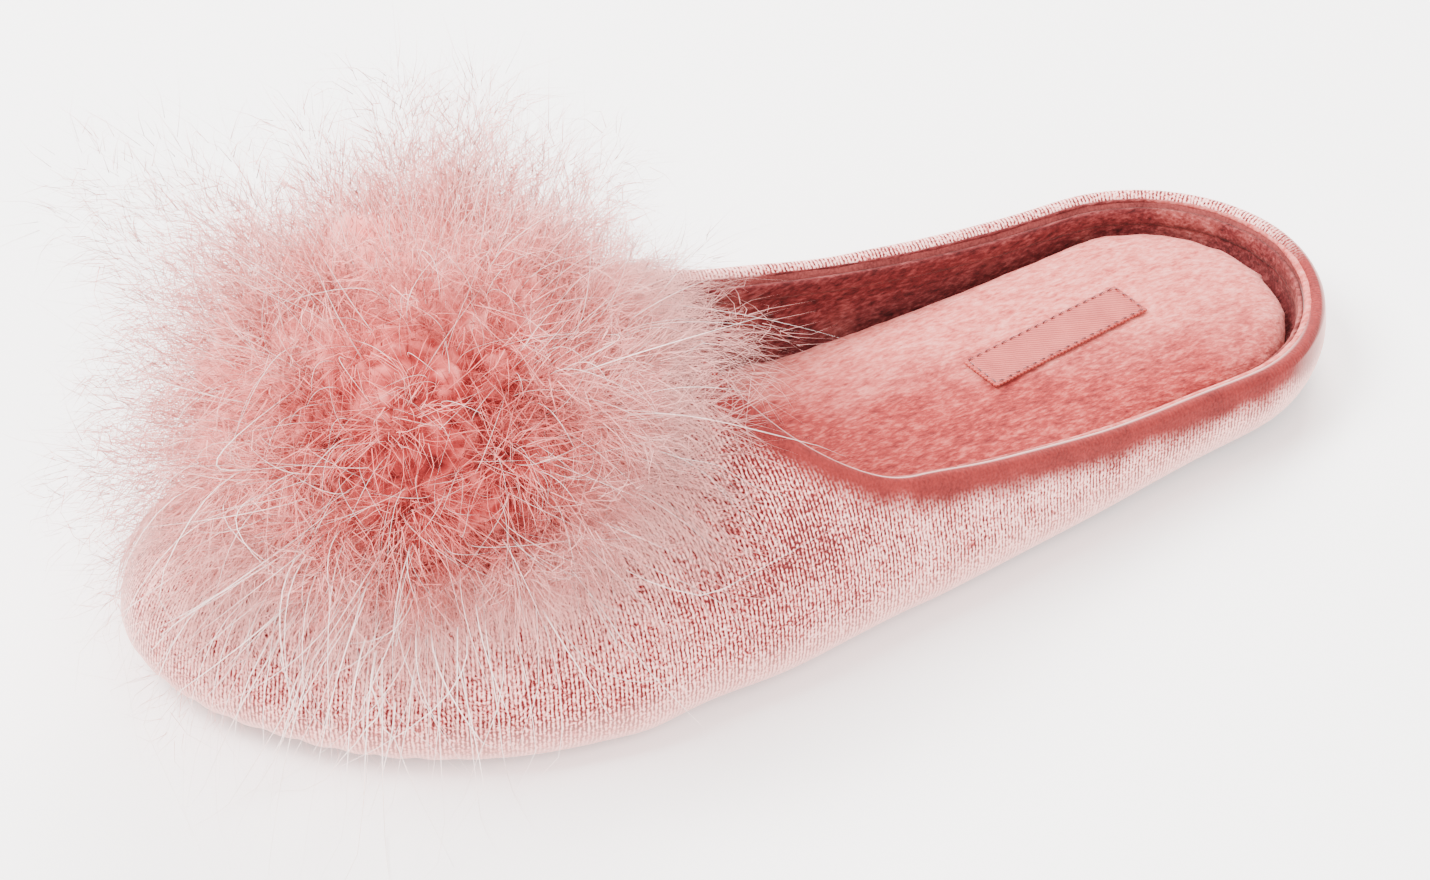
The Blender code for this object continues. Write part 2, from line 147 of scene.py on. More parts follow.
def set_points(thing, points):
    thing.data.vertices.foreach_set("co", np.asarray(points, float).ravel())
    thing.data.update()


def surface_tree(thing):
    """A search tree of a mesh's faces, for the nearest spot and for rays."""
    faces = [face.vertices[:] for face in thing.data.polygons]
    return BVHTree.FromPolygons([vert.co for vert in thing.data.vertices], faces)


def normals_of(thing):
    flat = np.empty(len(thing.data.vertices) * 3)
    thing.data.vertices.foreach_get("normal", flat)
    return flat.reshape(-1, 3)


def give_attribute(thing, name, values):
    """Stores one number for each corner, which a material can read by name."""
    attribute = thing.data.attributes.new(name, "FLOAT", "POINT")
    attribute.data.foreach_set("value", np.asarray(values, np.float32))


def roughen(thing, noises, rise):
    """Moves each corner out or in by noise. Each of the noises has a fineness and a share."""
    points = points_of(thing)
    moves = [sum(share * noise.noise(Vector(point) * fine) for fine, share in noises) for point in points]
    set_points(thing, points + normals_of(thing) * np.array(moves)[:, None] * rise)


def smooth(thing, degrees=180):
    only(thing)
    bpy.ops.object.shade_smooth_by_angle(angle=math.radians(degrees))


# %% [markdown]
# Materials are built from nodes. Colours are written as the hex values that a painter would
# pick on screen, and one function turns them into the linear light that the shader wants.
# Another turns a real spacing, such as the one between two tufts, into a pattern's scale. Pile
# and threads that are finer than the picture can show are drawn as coarse as they need to show.
# One small function adds a node with its settings and links, so that each material below reads
# as a short list of steps.

# %% Helpers for materials
EASED = {"interpolation_type": "SMOOTHSTEP"}  # for a Map Range that starts and ends softly


def linear(hex_colour):
    """An sRGB hex colour as linear red, green, blue and alpha."""
    parts = [int(hex_colour[i : i + 2], 16) / 255 for i in (1, 3, 5)]
    return tuple(c / 12.92 if c <= 0.04045 else ((c + 0.055) / 1.055) ** 2.4 for c in parts) + (1.0,)


def every(spacing):
    """The scale of a pattern whose grains, dots or waves are this many millimetres apart."""
    return 1 / (spacing * MM)


def new_material(name, **values):
    """An empty Principled material, with numbers and colours set on the shader's own sockets."""
    material = bpy.data.materials.new(name)
    material.use_nodes = True
    shader = material.node_tree.nodes["Principled BSDF"]
    for socket, value in values.items():
        shader.inputs[socket.replace("_", " ")].default_value = value
    return material, material.node_tree, shader


def node(tree, kind, links=None, stops=(), **settings):
    """Adds a node. Links name an input, and the node, socket or value that feeds it."""
    made = tree.nodes.new("ShaderNode" + kind)
    for name, value in settings.items():
        setattr(made, name, value)
    for socket, source in (links or {}).items():
        if isinstance(source, bpy.types.Node):
            source = source.outputs[0]
        if isinstance(source, bpy.types.NodeSocket):
            tree.links.new(source, made.inputs[socket])
        else:
            made.inputs[socket].default_value = source
    for i, (place, colour) in enumerate(stops):
        elements = made.color_ramp.elements
        element = elements[i] if i < 2 else elements.new(place)
        element.position = place
        element.color = linear(colour)
    return made


# %% [markdown]
# The camera stands where the photographer stood: 60 degrees round from the toe's line and 39
# degrees up, about a metre away with a long lens. From there it slides sideways and down,
# without turning, until the one slipper is centred.

# %% Camera
AZIMUTH = math.radians(59.63)
ELEVATION = math.radians(38.88)
ROLL = math.radians(-0.19)
DISTANCE = 1.1059
FOCAL_PIXELS = 5749.3
PICTURE_WIDTH = 1430
SLIDE_RIGHT = 18.5 * MM
SLIDE_DOWN = 17.3 * MM
LOOK_AT = Vector((-36.16, -10.75, 20.0)) * MM

right = Vector((math.cos(AZIMUTH), math.sin(AZIMUTH), 0))
back = Vector(
    (
        math.sin(AZIMUTH) * math.cos(ELEVATION),
        -math.cos(AZIMUTH) * math.cos(ELEVATION),
        math.sin(ELEVATION),
    )
)
up = back.cross(right)
right, up = (
    right * math.cos(ROLL) + up * math.sin(ROLL),
    up * math.cos(ROLL) - right * math.sin(ROLL),
)
spot = LOOK_AT + back * DISTANCE + right * SLIDE_RIGHT - up * SLIDE_DOWN

bpy.ops.object.camera_add()
camera = bpy.context.object
camera.name = "studio_camera"
camera.matrix_world = Matrix((right, up, back)).transposed().to_4x4()
camera.location = spot
camera.data.sensor_width = 36.0
camera.data.lens = FOCAL_PIXELS / PICTURE_WIDTH * camera.data.sensor_width
camera.data.clip_start = 0.05
bpy.context.scene.camera = camera
print("camera at", [round(v, 3) for v in spot], "lens", round(camera.data.lens, 1))

# %% [markdown]
# The upper is one padded wall: velvet outside, foam in the middle, plush inside. The velvet
# rolls over the collar's edge and ends at a seam a few millimetres down the inner side, where
# the wall has a small step. The whole wall is copied from the frame. Two rings of its edges are
# marked as seams, one on the rim's inner shoulder and one at the foot of the inner wall. A
# linked selection then takes the inner wall alone, as one would by hand.

# %% Velvet upper
velvet_upper = copy_of("upper", "velvet_upper")
SHOULDER = Vector((-2.8, 120.2, 15.0)) * MM
INNER_FOOT = Vector((-2.8, 117.7, 5.5)) * MM
INNER_HEEL = Vector((-2.8, 120.4, 9.7)) * MM
RING_ANGLE = math.radians(20)


def select_ring(near):
    """Selects the closed ring of bent edges that passes nearest a place."""
    bpy.ops.mesh.select_all(action="DESELECT")
    bpy.ops.mesh.select_mode(type="EDGE")
    mesh = bmesh.from_edit_mesh(velvet_upper.data)
    bent = {edge for edge in mesh.edges if edge.calc_face_angle(0) > RING_ANGLE}
    waiting = [min(bent, key=lambda edge: (edge.verts[0].co - near).length)]
    while waiting:
        edge = waiting.pop()
        edge.select_set(True)
        bent.discard(edge)
        waiting += [other for vert in edge.verts for other in vert.link_edges if other in bent]
    bmesh.update_edit_mesh(velvet_upper.data)


def mark_rings():
    for near in (SHOULDER, INNER_FOOT):
        select_ring(near)
        bpy.ops.mesh.mark_seam(clear=False)
    bpy.ops.mesh.select_all(action="DESELECT")


def select_inner_wall():
    """Grows a selection from the inside of the heel up to the marked rings."""
    bpy.ops.mesh.select_mode(type="FACE")
    mesh = bmesh.from_edit_mesh(velvet_upper.data)
    seed = min(mesh.faces, key=lambda face: (face.calc_center_median() - INNER_HEEL).length)
    seed.select_set(True)
    bmesh.update_edit_mesh(velvet_upper.data)
    bpy.ops.mesh.select_linked(delimit={"SEAM"})


def split_off(source, name):
    """Copies what is selected in edit mode into an object of its own."""
    bpy.ops.mesh.duplicate()
    bpy.ops.mesh.separate(type="SELECTED")
    made = [thing for thing in bpy.context.selected_objects if thing != source][0]
    made.name = made.data.name = name


edit(velvet_upper, mark_rings, select_inner_wall, lambda: split_off(velvet_upper, "plush_lining"))
edit(velvet_upper, lambda: select_ring(SHOULDER), lambda: split_off(velvet_upper, "collar_seam"))
plush_lining = bpy.data.objects["plush_lining"]
collar_seam = bpy.data.objects["collar_seam"]
only(collar_seam)
bpy.ops.object.convert(target="CURVE")
seam_places = np.array([point.co[:3] for point in collar_seam.data.splines[0].points])
print("plush_lining", len(plush_lining.data.polygons), "faces,", len(seam_places), "places on the seam")

# %% [markdown]
# Three numbers are stored at each corner of the velvet, for its folds and for its pattern. One is
# the distance from the collar's seam. Another tells how far inside the seam a corner is, where
# plush takes over from velvet. The third is the length along the slipper's outline, from the
# toe's tip round to the heel, because the velvet's ribs stand square to that outline.

# %% Measures on the velvet
OUTLINE_STEP = 0.02 * MM
RIDGE_LIFT = 1.9 * MM  # from the seam up to where its pile stands on the rim
RIDGE_STEPS = 16  # finer places between two places of the ridge
FRONT_ROUND = 20 * MM  # from the collar's front and back ends to the middle of their rounds
BACK_ROUND = 24 * MM
DROP_SHARE = 0.6  # a corner below the ridge counts as further inside by this share of its drop
DROP_MOST = 3 * MM
BEHIND_LINING = 2 * MM  # and so does all that lies closer to the lining than this

finish_with(velvet_upper, "SUBSURF", levels=2, render_levels=2)
velvet_points = points_of(velvet_upper)


def nearest(places, points):
    """For each point, the number of the nearest place and the distance to it."""
    tree = kdtree.KDTree(len(places))
    for i, place in enumerate(places):
        tree.insert(place, i)
    tree.balance()
    found = [tree.find(point) for point in points]
    return np.array([hit[1] for hit in found]), np.array([hit[2] for hit in found])


def outline_in_plan(points):
    """The slipper's outline in plan, as close places, and the length along it from the toe."""
    hull = convex_hull_2d([Vector(point[:2]) for point in points])
    ring = np.array([points[i, :2] for i in hull + hull[:1]])
    lengths = np.append(0, np.cumsum(np.linalg.norm(np.diff(ring, axis=0), axis=1)))
    fine = np.arange(0, lengths[-1], OUTLINE_STEP)
    places = np.stack([np.interp(fine, lengths, ring[:, axis]) for axis in (0, 1)] + [fine * 0], axis=1)
    from_toe = (fine - fine[places[:, 1].argmin()]) % lengths[-1]
    return places, np.minimum(from_toe, lengths[-1] - from_toe)


bare_tree = surface_tree(velvet_upper)
raised = [bare_tree.find_nearest(Vector(place) + Vector((0, 0, RIDGE_LIFT)))[0] for place in seam_places]
ridge_places = np.array(raised)
after = np.roll(ridge_places, -1, axis=0)
steps = np.linspace(0, 1, RIDGE_STEPS, endpoint=False)
fine_ridge = np.concatenate([ridge_places + (after - ridge_places) * step for step in steps])
outline, along_outline = outline_in_plan(velvet_points)
rib_place = along_outline[nearest(outline, velvet_points * (1, 1, 0))[0]]
at_seam, seam_gap = nearest(fine_ridge, velvet_points)
inner_low, inner_high = ridge_places[:, :2].min(axis=0), ridge_places[:, :2].max(axis=0)
centre_line = fine_ridge[:, :2].copy()
centre_line[:, 0] = (inner_low[0] + inner_high[0]) / 2
centre_line[:, 1] = centre_line[:, 1].clip(inner_low[1] + FRONT_ROUND, inner_high[1] - BACK_ROUND)
inward = centre_line - fine_ridge[:, :2]
inward /= np.linalg.norm(inward, axis=1, keepdims=True)
from_seam = velvet_points - fine_ridge[at_seam]
inside_seam = (from_seam[:, :2] * inward[at_seam]).sum(axis=1)
inside_seam += DROP_SHARE * (-from_seam[:, 2]).clip(0, DROP_MOST)
lining_tree = surface_tree(plush_lining)
lining_gap = np.array([lining_tree.find_nearest(Vector(point))[3] for point in velvet_points])
inside_seam = np.maximum(inside_seam, BEHIND_LINING - lining_gap)
print("outline", round(len(outline) * OUTLINE_STEP / MM), "mm round")

# %% [markdown]
# A padded wall is never quite even. The folds below are the main ones, listed in the
# slipper's own lengths: a soft hollow that follows the collar, dimples where the velvet is
# drawn in under the toe, and the slack beside the throat. Each is a line with a width, and the
# surface sinks or rises there in a smooth bell.

# %% Folds of the velvet
upper_low, upper_high = (np.array(corner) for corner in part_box("upper"))
FOLDS = (
    # start and end as shares of the width and length, width and rise in mm
    (0.86, 0.405, 1.02, 0.330, 5.5, -0.55),
    (0.80, 0.360, 1.00, 0.285, 4.5, 0.35),
    (0.10, 0.405, -0.02, 0.340, 5.5, -0.50),
    (0.93, 0.520, 1.00, 0.470, 6.0, -0.40),
    (0.12, 0.640, 0.02, 0.600, 7.0, -0.35),
    (0.60, 0.030, 0.72, 0.110, 4.0, -0.30),
    (0.22, 0.050, 0.14, 0.130, 4.0, -0.30),
)
COLLAR_HOLLOW = (10.5, 2.8, -0.32)  # distance from the seam, width and rise in mm
DIMPLE_STEP = 7.5  # mm between the dimples under the toe
DIMPLE_WIDTH = 1.7
DIMPLE_RISE = -0.42
DIMPLES_END = 78  # mm from the toe's tip, along the outline
DIMPLES_FADE = 20
DIMPLE_HEIGHT = 4  # mm over the floor
UNEVEN_RISE = 0.22  # mm
UNEVEN_FINENESS = 45


def bell(distance, width):
    return np.exp(-((distance / width) ** 2))


def gap_to_line(points, start, end):
    """Distance in plan from each point to a straight line between two places."""
    along = end - start
    share = np.clip(((points - start) @ along) / (along @ along), 0, 1)
    return np.linalg.norm(points - start - share[:, None] * along, axis=1)


plan = velvet_points[:, :2] / MM
rise = np.zeros(len(plan))
plan_low, plan_size = upper_low[:2] / MM, (upper_high - upper_low)[:2] / MM
for x0, y0, x1, y1, width, height in FOLDS:
    start, end = (plan_low + plan_size * share for share in ((x0, y0), (x1, y1)))
    rise += height * bell(gap_to_line(plan, start, end), width)
distance, width, height = COLLAR_HOLLOW
rise += height * bell(seam_gap / MM - distance, width)
swing = (rib_place / MM + DIMPLE_STEP / 2) % DIMPLE_STEP - DIMPLE_STEP / 2
near_toe = np.clip((DIMPLES_END - rib_place / MM) / DIMPLES_FADE, 0, 1)
near_floor = bell(velvet_points[:, 2] / MM - DIMPLE_HEIGHT, DIMPLE_HEIGHT)
rise += DIMPLE_RISE * bell(swing, DIMPLE_WIDTH) * near_toe * near_floor
unevenness = [noise.noise(Vector(point) * UNEVEN_FINENESS) for point in velvet_points]
rise += UNEVEN_RISE * np.array(unevenness)
set_points(velvet_upper, velvet_points + normals_of(velvet_upper) * rise[:, None] * MM)
give_attribute(velvet_upper, "rib", rib_place / MM)
give_attribute(velvet_upper, "seam_gap", seam_gap / MM)
give_attribute(velvet_upper, "inside_seam", inside_seam / MM)
smooth(velvet_upper)
print("folds from", round(rise.min(), 2), "to", round(rise.max(), 2), "mm")

# %% [markdown]
# The outside is a ribbed stretch velvet: a knitted ground with a short polyester pile in fine
# ribs, 0.8 mm apart. The pile throws light back at a low angle, which is why velvet is pale at its
# edges and dark where one looks straight into it. The ribs, their speckle and the patches where
# the pile lies another way come from nodes. The shader has a sheen of its own, and light and
# shade are also painted into the colour: a pale painted sheen at grazing angles, painted shade in
# a dark band on the rim's outer side where the pile rolls over and lies smooth, painted light
# from the floor on the low edges, and painted shade under the pom pom and round the throat's
# corner.

# %% Ribbed velvet material
RIB_SPACING = 0.82  # mm
POM_ROOT = np.array((-4.5, -66.0, 42.0)) * MM  # where the feathers are tied, over the vamp
THROAT_CORNER = np.array((38.0, -16.0, 37.0)) * MM  # where the collar turns and the velvet creases


def ribbed_velvet():
    """Polyester velvet: rough, with a strong pale sheen, partly painted into its colour by facing angle, and
    ribs of pile over a knit.
    """
    material, tree, shader = new_material(
        "ribbed_stretch_velvet",
        Roughness=0.85,
        Sheen_Weight=0.45,
        Sheen_Roughness=0.32,
        Sheen_Tint=linear("#FFD6CE"),
        Specular_IOR_Level=0.25,
    )
    place = node(tree, "TexCoord").outputs["Object"]
    rib = node(tree, "Attribute", attribute_name="rib").outputs["Fac"]
    seam = node(tree, "Attribute", attribute_name="seam_gap").outputs["Fac"]
    axes = node(tree, "SeparateXYZ", {0: place})
    wander = node(tree, "TexNoise", {"Vector": place, "Scale": every(2.38), "Detail": 2.0})
    # Single fibres are far finer, so the speckle shows small bunches of them
    speckle = node(tree, "TexNoise", {"Vector": place, "Scale": every(0.526), "Detail": 1.0})
    patches = node(tree, "TexNoise", {"Vector": place, "Scale": every(10.5), "Detail": 4, "Roughness": 0.62})
    shifted = node(tree, "Math", {0: wander, 1: 0.55, 2: rib}, operation="MULTIPLY_ADD")
    angle = node(tree, "Math", {0: shifted, 1: 2 * math.pi / RIB_SPACING}, operation="MULTIPLY")
    wave = node(tree, "Math", {0: angle}, operation="SINE")
    ribs = node(tree, "MapRange", {0: wave, 1: -1.0, 2: 1.0, 3: 0.0, 4: 1.0})
    # Painted shade: a dark band on the rim's outer side, where the pile rolls over the rim and lies smooth;
    # the ribs are flattened there as well.
    ragged = node(tree, "Math", {0: patches, 1: 5.0, 2: seam}, operation="MULTIPLY_ADD")
    rolled_and_shaded = node(tree, "MapRange", {0: ragged, 1: 6.6, 2: 11.6, 3: 1.0, 4: 0.0}, **EASED)
    outer_side = node(tree, "MapRange", {0: axes.outputs["X"], 1: -14 * MM, 2: 6 * MM}, **EASED)
    rolled_and_shaded = node(tree, "Math", {0: rolled_and_shaded, 1: outer_side}, operation="MULTIPLY")
    # Painted shade: the velvet is darker within about 80 mm of the pom pom's root, under its feathers.
    gap = node(tree, "VectorMath", {0: place, 1: POM_ROOT}, operation="DISTANCE").outputs["Value"]
    pom_shade = node(tree, "MapRange", {0: gap, 1: 52 * MM, 2: 82 * MM, 3: 0.22, 4: 0.0}, **EASED)
    # Painted shade: the velvet is darker round the throat's corner, where the collar turns.
    gap = node(tree, "VectorMath", {0: place, 1: THROAT_CORNER}, operation="DISTANCE").outputs["Value"]
    throat_shade = node(tree, "MapRange", {0: gap, 1: 10 * MM, 2: 36 * MM, 3: 0.24, 4: 0.0}, **EASED)
    # Painted light: the velvet is paler towards the floor, as light bounced up from it.
    floor_bounce = node(tree, "MapRange", {0: axes.outputs["Z"], 1: 2 * MM, 2: 15 * MM, 3: 1.0, 4: 0.0}, **EASED)
    broken = node(tree, "Math", {0: speckle, 1: 3.2, 2: -1.6}, operation="MULTIPLY_ADD")
    pile = node(tree, "Math", {0: ribs, 1: broken}, operation="ADD")
    # The patches where the pile lies another way, less the painted shade under the pom pom and round the
    # throat.
    lying_and_shade = node(tree, "Math", {0: patches, 1: 1.1, 2: -0.37}, operation="MULTIPLY_ADD")
    lying_and_shade = node(tree, "Math", {0: lying_and_shade, 1: pom_shade}, operation="SUBTRACT")
    lying_and_shade = node(tree, "Math", {0: lying_and_shade, 1: throat_shade}, operation="SUBTRACT")
    pile = node(tree, "Math", {0: pile, 1: lying_and_shade}, operation="ADD", use_clamp=True)
    ribbed = node(
        tree,
        "ValToRGB",
        {0: pile},
        stops=((0.0, "#5A1719"), (1.0, "#FFC6BE"), (0.30, "#9C403F"), (0.60, "#D67C76")),
    )
    nap = node(tree, "Math", {0: speckle, 1: 0.5}, operation="MULTIPLY")
    nap = node(tree, "Math", {0: patches, 1: 0.6, 2: nap}, operation="MULTIPLY_ADD")
    shaded_band = node(tree, "ValToRGB", {0: nap}, stops=((0.30, "#4A0E0E"), (0.75, "#872624")))
    bounce_share = node(tree, "Math", {0: floor_bounce, 1: 0.62}, operation="MULTIPLY")
    pale = node(tree, "Mix", {0: bounce_share, 6: ribbed, 7: linear("#FBB9B1")}, data_type="RGBA").outputs[2]
    cloth = node(tree, "Mix", {0: rolled_and_shaded, 6: pale, 7: shaded_band}, data_type="RGBA").outputs[2]
    inside = node(tree, "Attribute", attribute_name="inside_seam").outputs["Fac"]
    lined = node(tree, "MapRange", {0: inside, 1: 0.1, 2: 0.6})
    # Behind the lining the velvet takes a dark plush colour, as dark as the lining's painted shade.
    plush = node(tree, "ValToRGB", {0: nap}, stops=((0.30, "#481213"), (0.75, "#8A3E3B")))
    cloth = node(tree, "Mix", {0: lined, 6: cloth, 7: plush}, data_type="RGBA").outputs[2]
    # Painted sheen: the colour is mixed towards a pale pink where the surface is seen at a grazing angle.
    grazing = node(tree, "LayerWeight", {"Blend": 0.42}).outputs["Facing"]
    bloom = node(tree, "MapRange", {0: grazing, 1: 0.45, 2: 0.95, 3: 0.0, 4: 0.75})
    colour = node(tree, "Mix", {0: bloom, 6: cloth, 7: linear("#FFD3CC")}, data_type="RGBA").outputs[2]
    tree.links.new(colour, shader.inputs["Base Color"])
    flat = node(tree, "Math", {0: rolled_and_shaded, 1: -0.85, 2: 1.0}, operation="MULTIPLY_ADD")
    flat = node(tree, "Math", {0: flat, 1: lined}, operation="SUBTRACT", use_clamp=True)
    raised = node(tree, "Math", {0: ribs, 1: flat}, operation="MULTIPLY")
    relief = node(tree, "Math", {0: speckle, 1: 0.7, 2: raised}, operation="MULTIPLY_ADD")
    bump = node(tree, "Bump", {"Height": relief, "Distance": 0.16 * MM, "Strength": 0.8})
    tree.links.new(bump.outputs[0], shader.inputs["Normal"])
    return material


velvet_upper.data.materials.append(ribbed_velvet())
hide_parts("upper")
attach(velvet_upper, "root")
print("velvet_upper", len(velvet_upper.data.polygons), "faces")

# %% [markdown]
# Where the velvet that rolls over the rim meets the plush, the pile of both stands up in a ridge,
# painted pale as a highlight towards the outer side and the heel. It is a soft cord on the rim's
# inner shoulder, thick round the heel and on the outer side, and thin towards the throat. The
# seam's edges became a curve above. Its points are moved to their place on the rim, each gets its
# own thickness, and with a round bevel it is turned into a mesh.

# %% Ridge along the collar's seam
RIDGE_RADIUS = 0.8 * MM
RIDGE_THIN = 0.6  # share of the thickness that is left at the throat
RIDGE_THIN_INNER = 0.5  # and on the inner side
RIDGE_GROWTH = 1.6  # how soon the ridge is thick again on the way to the heel
RIDGE_SUNK = 0.25  # share of the radius that lies in the velvet

velvet_tree = surface_tree(velvet_upper)
front, back_end = ridge_places[:, 1].min(), ridge_places[:, 1].max()
for point, place in zip(collar_seam.data.splines[0].points, ridge_places):
    spot, normal, _, _ = velvet_tree.find_nearest(Vector(place))
    share = (place[1] - front) / (back_end - front)
    thick = RIDGE_THIN + (1 - RIDGE_THIN) * min(1, share * RIDGE_GROWTH)
    thick *= RIDGE_THIN_INNER if place[0] < 0 else 1
    point.co = (*(spot - normal * RIDGE_RADIUS * RIDGE_SUNK), 1.0)
    point.radius = thick
only(collar_seam)
collar_seam.data.bevel_depth = RIDGE_RADIUS
collar_seam.data.bevel_resolution = 3
bpy.ops.object.convert(target="MESH")
finish_with(collar_seam, "SUBSURF", levels=1, render_levels=1)
roughen(collar_seam, ((900, 1),), 0.2 * MM)
smooth(collar_seam)
print("collar_seam", len(collar_seam.data.polygons), "faces")

# %% [markdown]
# Inside, the slipper is lined with a coral plush: a knitted fleece with a dense pile about
# 1.5 mm long that shows every stroke of a hand. Brushed one way it looks pale, the other way
# it looks deep red. The nap is drawn twice, as long streaks that lie with the pile and as short
# tufts, and both feed the colour and the bump.

# %% Plush material
# The lining's colours are painted darker than the insole's, as shade inside the upper's walls; the collar's
# ridge shares them.
SHADED_LINING_DEEP = ((0.34, "#341011"), (0.68, "#8A4442"), (0.50, "#5E2122"))
INSOLE_DEEP = ((0.34, "#5F1618"), (0.66, "#B4564E"), (0.50, "#8C2C2A"))
PALE_STROKED_AND_LIT = ((0.34, "#993B38"), (0.66, "#D88880"), (0.48, "#C06059"))
LINING_LIE = (0.5, 0.3, 0.9)  # turns of the pile's streaks, in radians
INSOLE_LIE = (0.0, 0.0, math.radians(-25))
# Where the plush is brushed pale, and where the collar's ridge is painted pale as a highlight:
# growth a mm to the inner side and to the heel, how much that line sways, and the level where it
# starts and is full
EDGE_HIGHLIGHT = (-0.05, 0.03, 2.4, 1.8, 5.4)
INSOLE_STROKED = (0.05, 0.0175, 1.3, 1.1, 2.5)


def brushed_plush(name, sheen, deep_stops, lie, pale_zone=None):
    """Polyester plush: matt and deep between its fibres, pale where a hand has brushed it, and pale as a
    painted highlight on the collar's ridge.
    """
    material, tree, shader = new_material(
        name,
        Roughness=0.92,
        Sheen_Weight=sheen,
        Sheen_Roughness=0.4,
        Sheen_Tint=linear("#FFC4BA"),
        Specular_IOR_Level=0.15,
    )
    place = node(tree, "TexCoord").outputs["Object"]
    lay = node(tree, "Mapping", {"Vector": place, "Rotation": lie, "Scale": (1.0, 0.4, 1.0)})
    # The pile's fibres are drawn in bunches, about as coarse as the picture shows them
    pile = node(tree, "TexNoise", {"Vector": lay, "Scale": every(0.667), "Detail": 3.0, "Roughness": 0.65})
    tufts = node(tree, "TexNoise", {"Vector": lay, "Scale": every(1.79), "Detail": 3.0, "Roughness": 0.6})
    strokes = node(tree, "TexNoise", {"Vector": place, "Scale": every(13.3), "Detail": 3, "Roughness": 0.55})
    both = node(tree, "Math", {0: pile, 1: 0.6}, operation="MULTIPLY")
    both = node(tree, "Math", {0: tufts, 1: 0.4, 2: both}, operation="MULTIPLY_ADD")
    deep = node(tree, "ValToRGB", {0: both}, stops=deep_stops)
    light = node(tree, "ValToRGB", {0: both}, stops=PALE_STROKED_AND_LIT)
    if pale_zone:
        inner, heel, sway, start, full = pale_zone
        axes = node(tree, "SeparateXYZ", {0: place})
        level = node(tree, "Math", {0: axes.outputs["X"], 1: -inner / MM}, operation="MULTIPLY")
        level = node(tree, "Math", {0: axes.outputs["Y"], 1: heel / MM, 2: level}, operation="MULTIPLY_ADD")
        level = node(tree, "Math", {0: strokes, 1: sway, 2: level}, operation="MULTIPLY_ADD")
        zone = node(tree, "MapRange", {0: level, 1: start, 2: full, 3: 0.0, 4: 1.0}, **EASED)
    else:
        zone = node(tree, "MapRange", {0: strokes, 1: 0.5, 2: 0.75, 3: 0.0, 4: 0.4})
    colour = node(tree, "Mix", {0: zone, 6: deep, 7: light}, data_type="RGBA").outputs[2]
    tree.links.new(colour, shader.inputs["Base Color"])
    bump = node(tree, "Bump", {"Height": both, "Distance": 0.8 * MM, "Strength": 0.65})
    tree.links.new(bump.outputs[0], shader.inputs["Normal"])
    return material


# %% [markdown]
# The lining is the inner wall's sheet, split off above. It is subdivided, roughened a little by
# noise as a pile is, and made a closed layer 0.9 mm thick towards the foot.

# %% Plush lining
LINING_THICKNESS = 0.9 * MM

finish_with(plush_lining, "SUBSURF", levels=1, render_levels=1)
roughen(plush_lining, ((420, 1.0), (150, 0.6)), 0.14 * MM)
finish_with(plush_lining, "SOLIDIFY", thickness=LINING_THICKNESS, offset=1.0)
smooth(plush_lining)
coral_plush = brushed_plush("coral_plush_lining", 0.10, SHADED_LINING_DEEP, LINING_LIE)
plush_lining.data.materials.append(coral_plush)
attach(plush_lining, "root")
# On the collar's ridge the pale zone is a painted highlight, towards the outer side and the heel.
raised_plush = brushed_plush("raised_plush_edge", 0.05, SHADED_LINING_DEEP, LINING_LIE, EDGE_HIGHLIGHT)
collar_seam.data.materials.append(raised_plush)
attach(collar_seam, "root")
print("plush_lining", len(plush_lining.data.polygons), "faces")

# %% [markdown]
# The insole is a foam pad covered in the same plush. It starts as the frame's insole, drawn in
# a little at its sides so that it can swell, and is blown up by a short cloth simulation with
# pressure inside. How far each point may move is capped, and the underside stays flat.

# %% Padded insole
SIDE_DRAW_IN = 1.6 * MM
PAD_VOXEL = 3.2 * MM
PRESSURE = 4.0
CLOTH_FRAMES = 20
SWELL_CAP = 1.0 * MM
FLAT_UNDERSIDE = 4 * MM  # up to this height the pad swells little and only sideways
LITTLE = 0.3

plush_insole = copy_of("insole", "plush_insole")
pad_normals = normals_of(plush_insole)
draw_in = -SIDE_DRAW_IN * pad_normals * (1, 1, 0)
set_points(plush_insole, points_of(plush_insole) + draw_in)
finish_with(plush_insole, "REMESH", mode="VOXEL", voxel_size=PAD_VOXEL)
before = points_of(plush_insole)
only(plush_insole)
bpy.ops.object.modifier_add(type="CLOTH")
cloth = plush_insole.modifiers[-1].settings
cloth.use_pressure = True
cloth.uniform_pressure_force = PRESSURE
cloth.effector_weights.gravity = 0.0
for frame_number in range(1, CLOTH_FRAMES + 1):
    bpy.context.scene.frame_set(frame_number)
bpy.ops.object.modifier_apply(modifier=plush_insole.modifiers[-1].name)
bpy.context.scene.frame_set(1)
swollen = points_of(plush_insole) - before
lengths = np.maximum(np.linalg.norm(swollen, axis=1, keepdims=True), 1e-9)
swollen *= np.minimum(lengths, SWELL_CAP) / lengths
swollen[before[:, 2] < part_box("insole")[0][2] + FLAT_UNDERSIDE] *= (LITTLE, LITTLE, 0)
set_points(plush_insole, before + swollen)
finish_with(plush_insole, "SUBSURF", levels=1, render_levels=1)
roughen(plush_insole, ((420, 1.0), (120, 0.5)), 0.15 * MM)
smooth(plush_insole)
insole_plush = brushed_plush("coral_plush_insole", 0.28, INSOLE_DEEP, INSOLE_LIE, INSOLE_STROKED)
plush_insole.data.materials.append(insole_plush)
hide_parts("insole")
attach(plush_insole, "root")
swell = float(np.linalg.norm(swollen, axis=1).max()) / MM
print("plush_insole", len(plush_insole.data.polygons), "faces, swelled by up to", round(swell, 2), "mm")

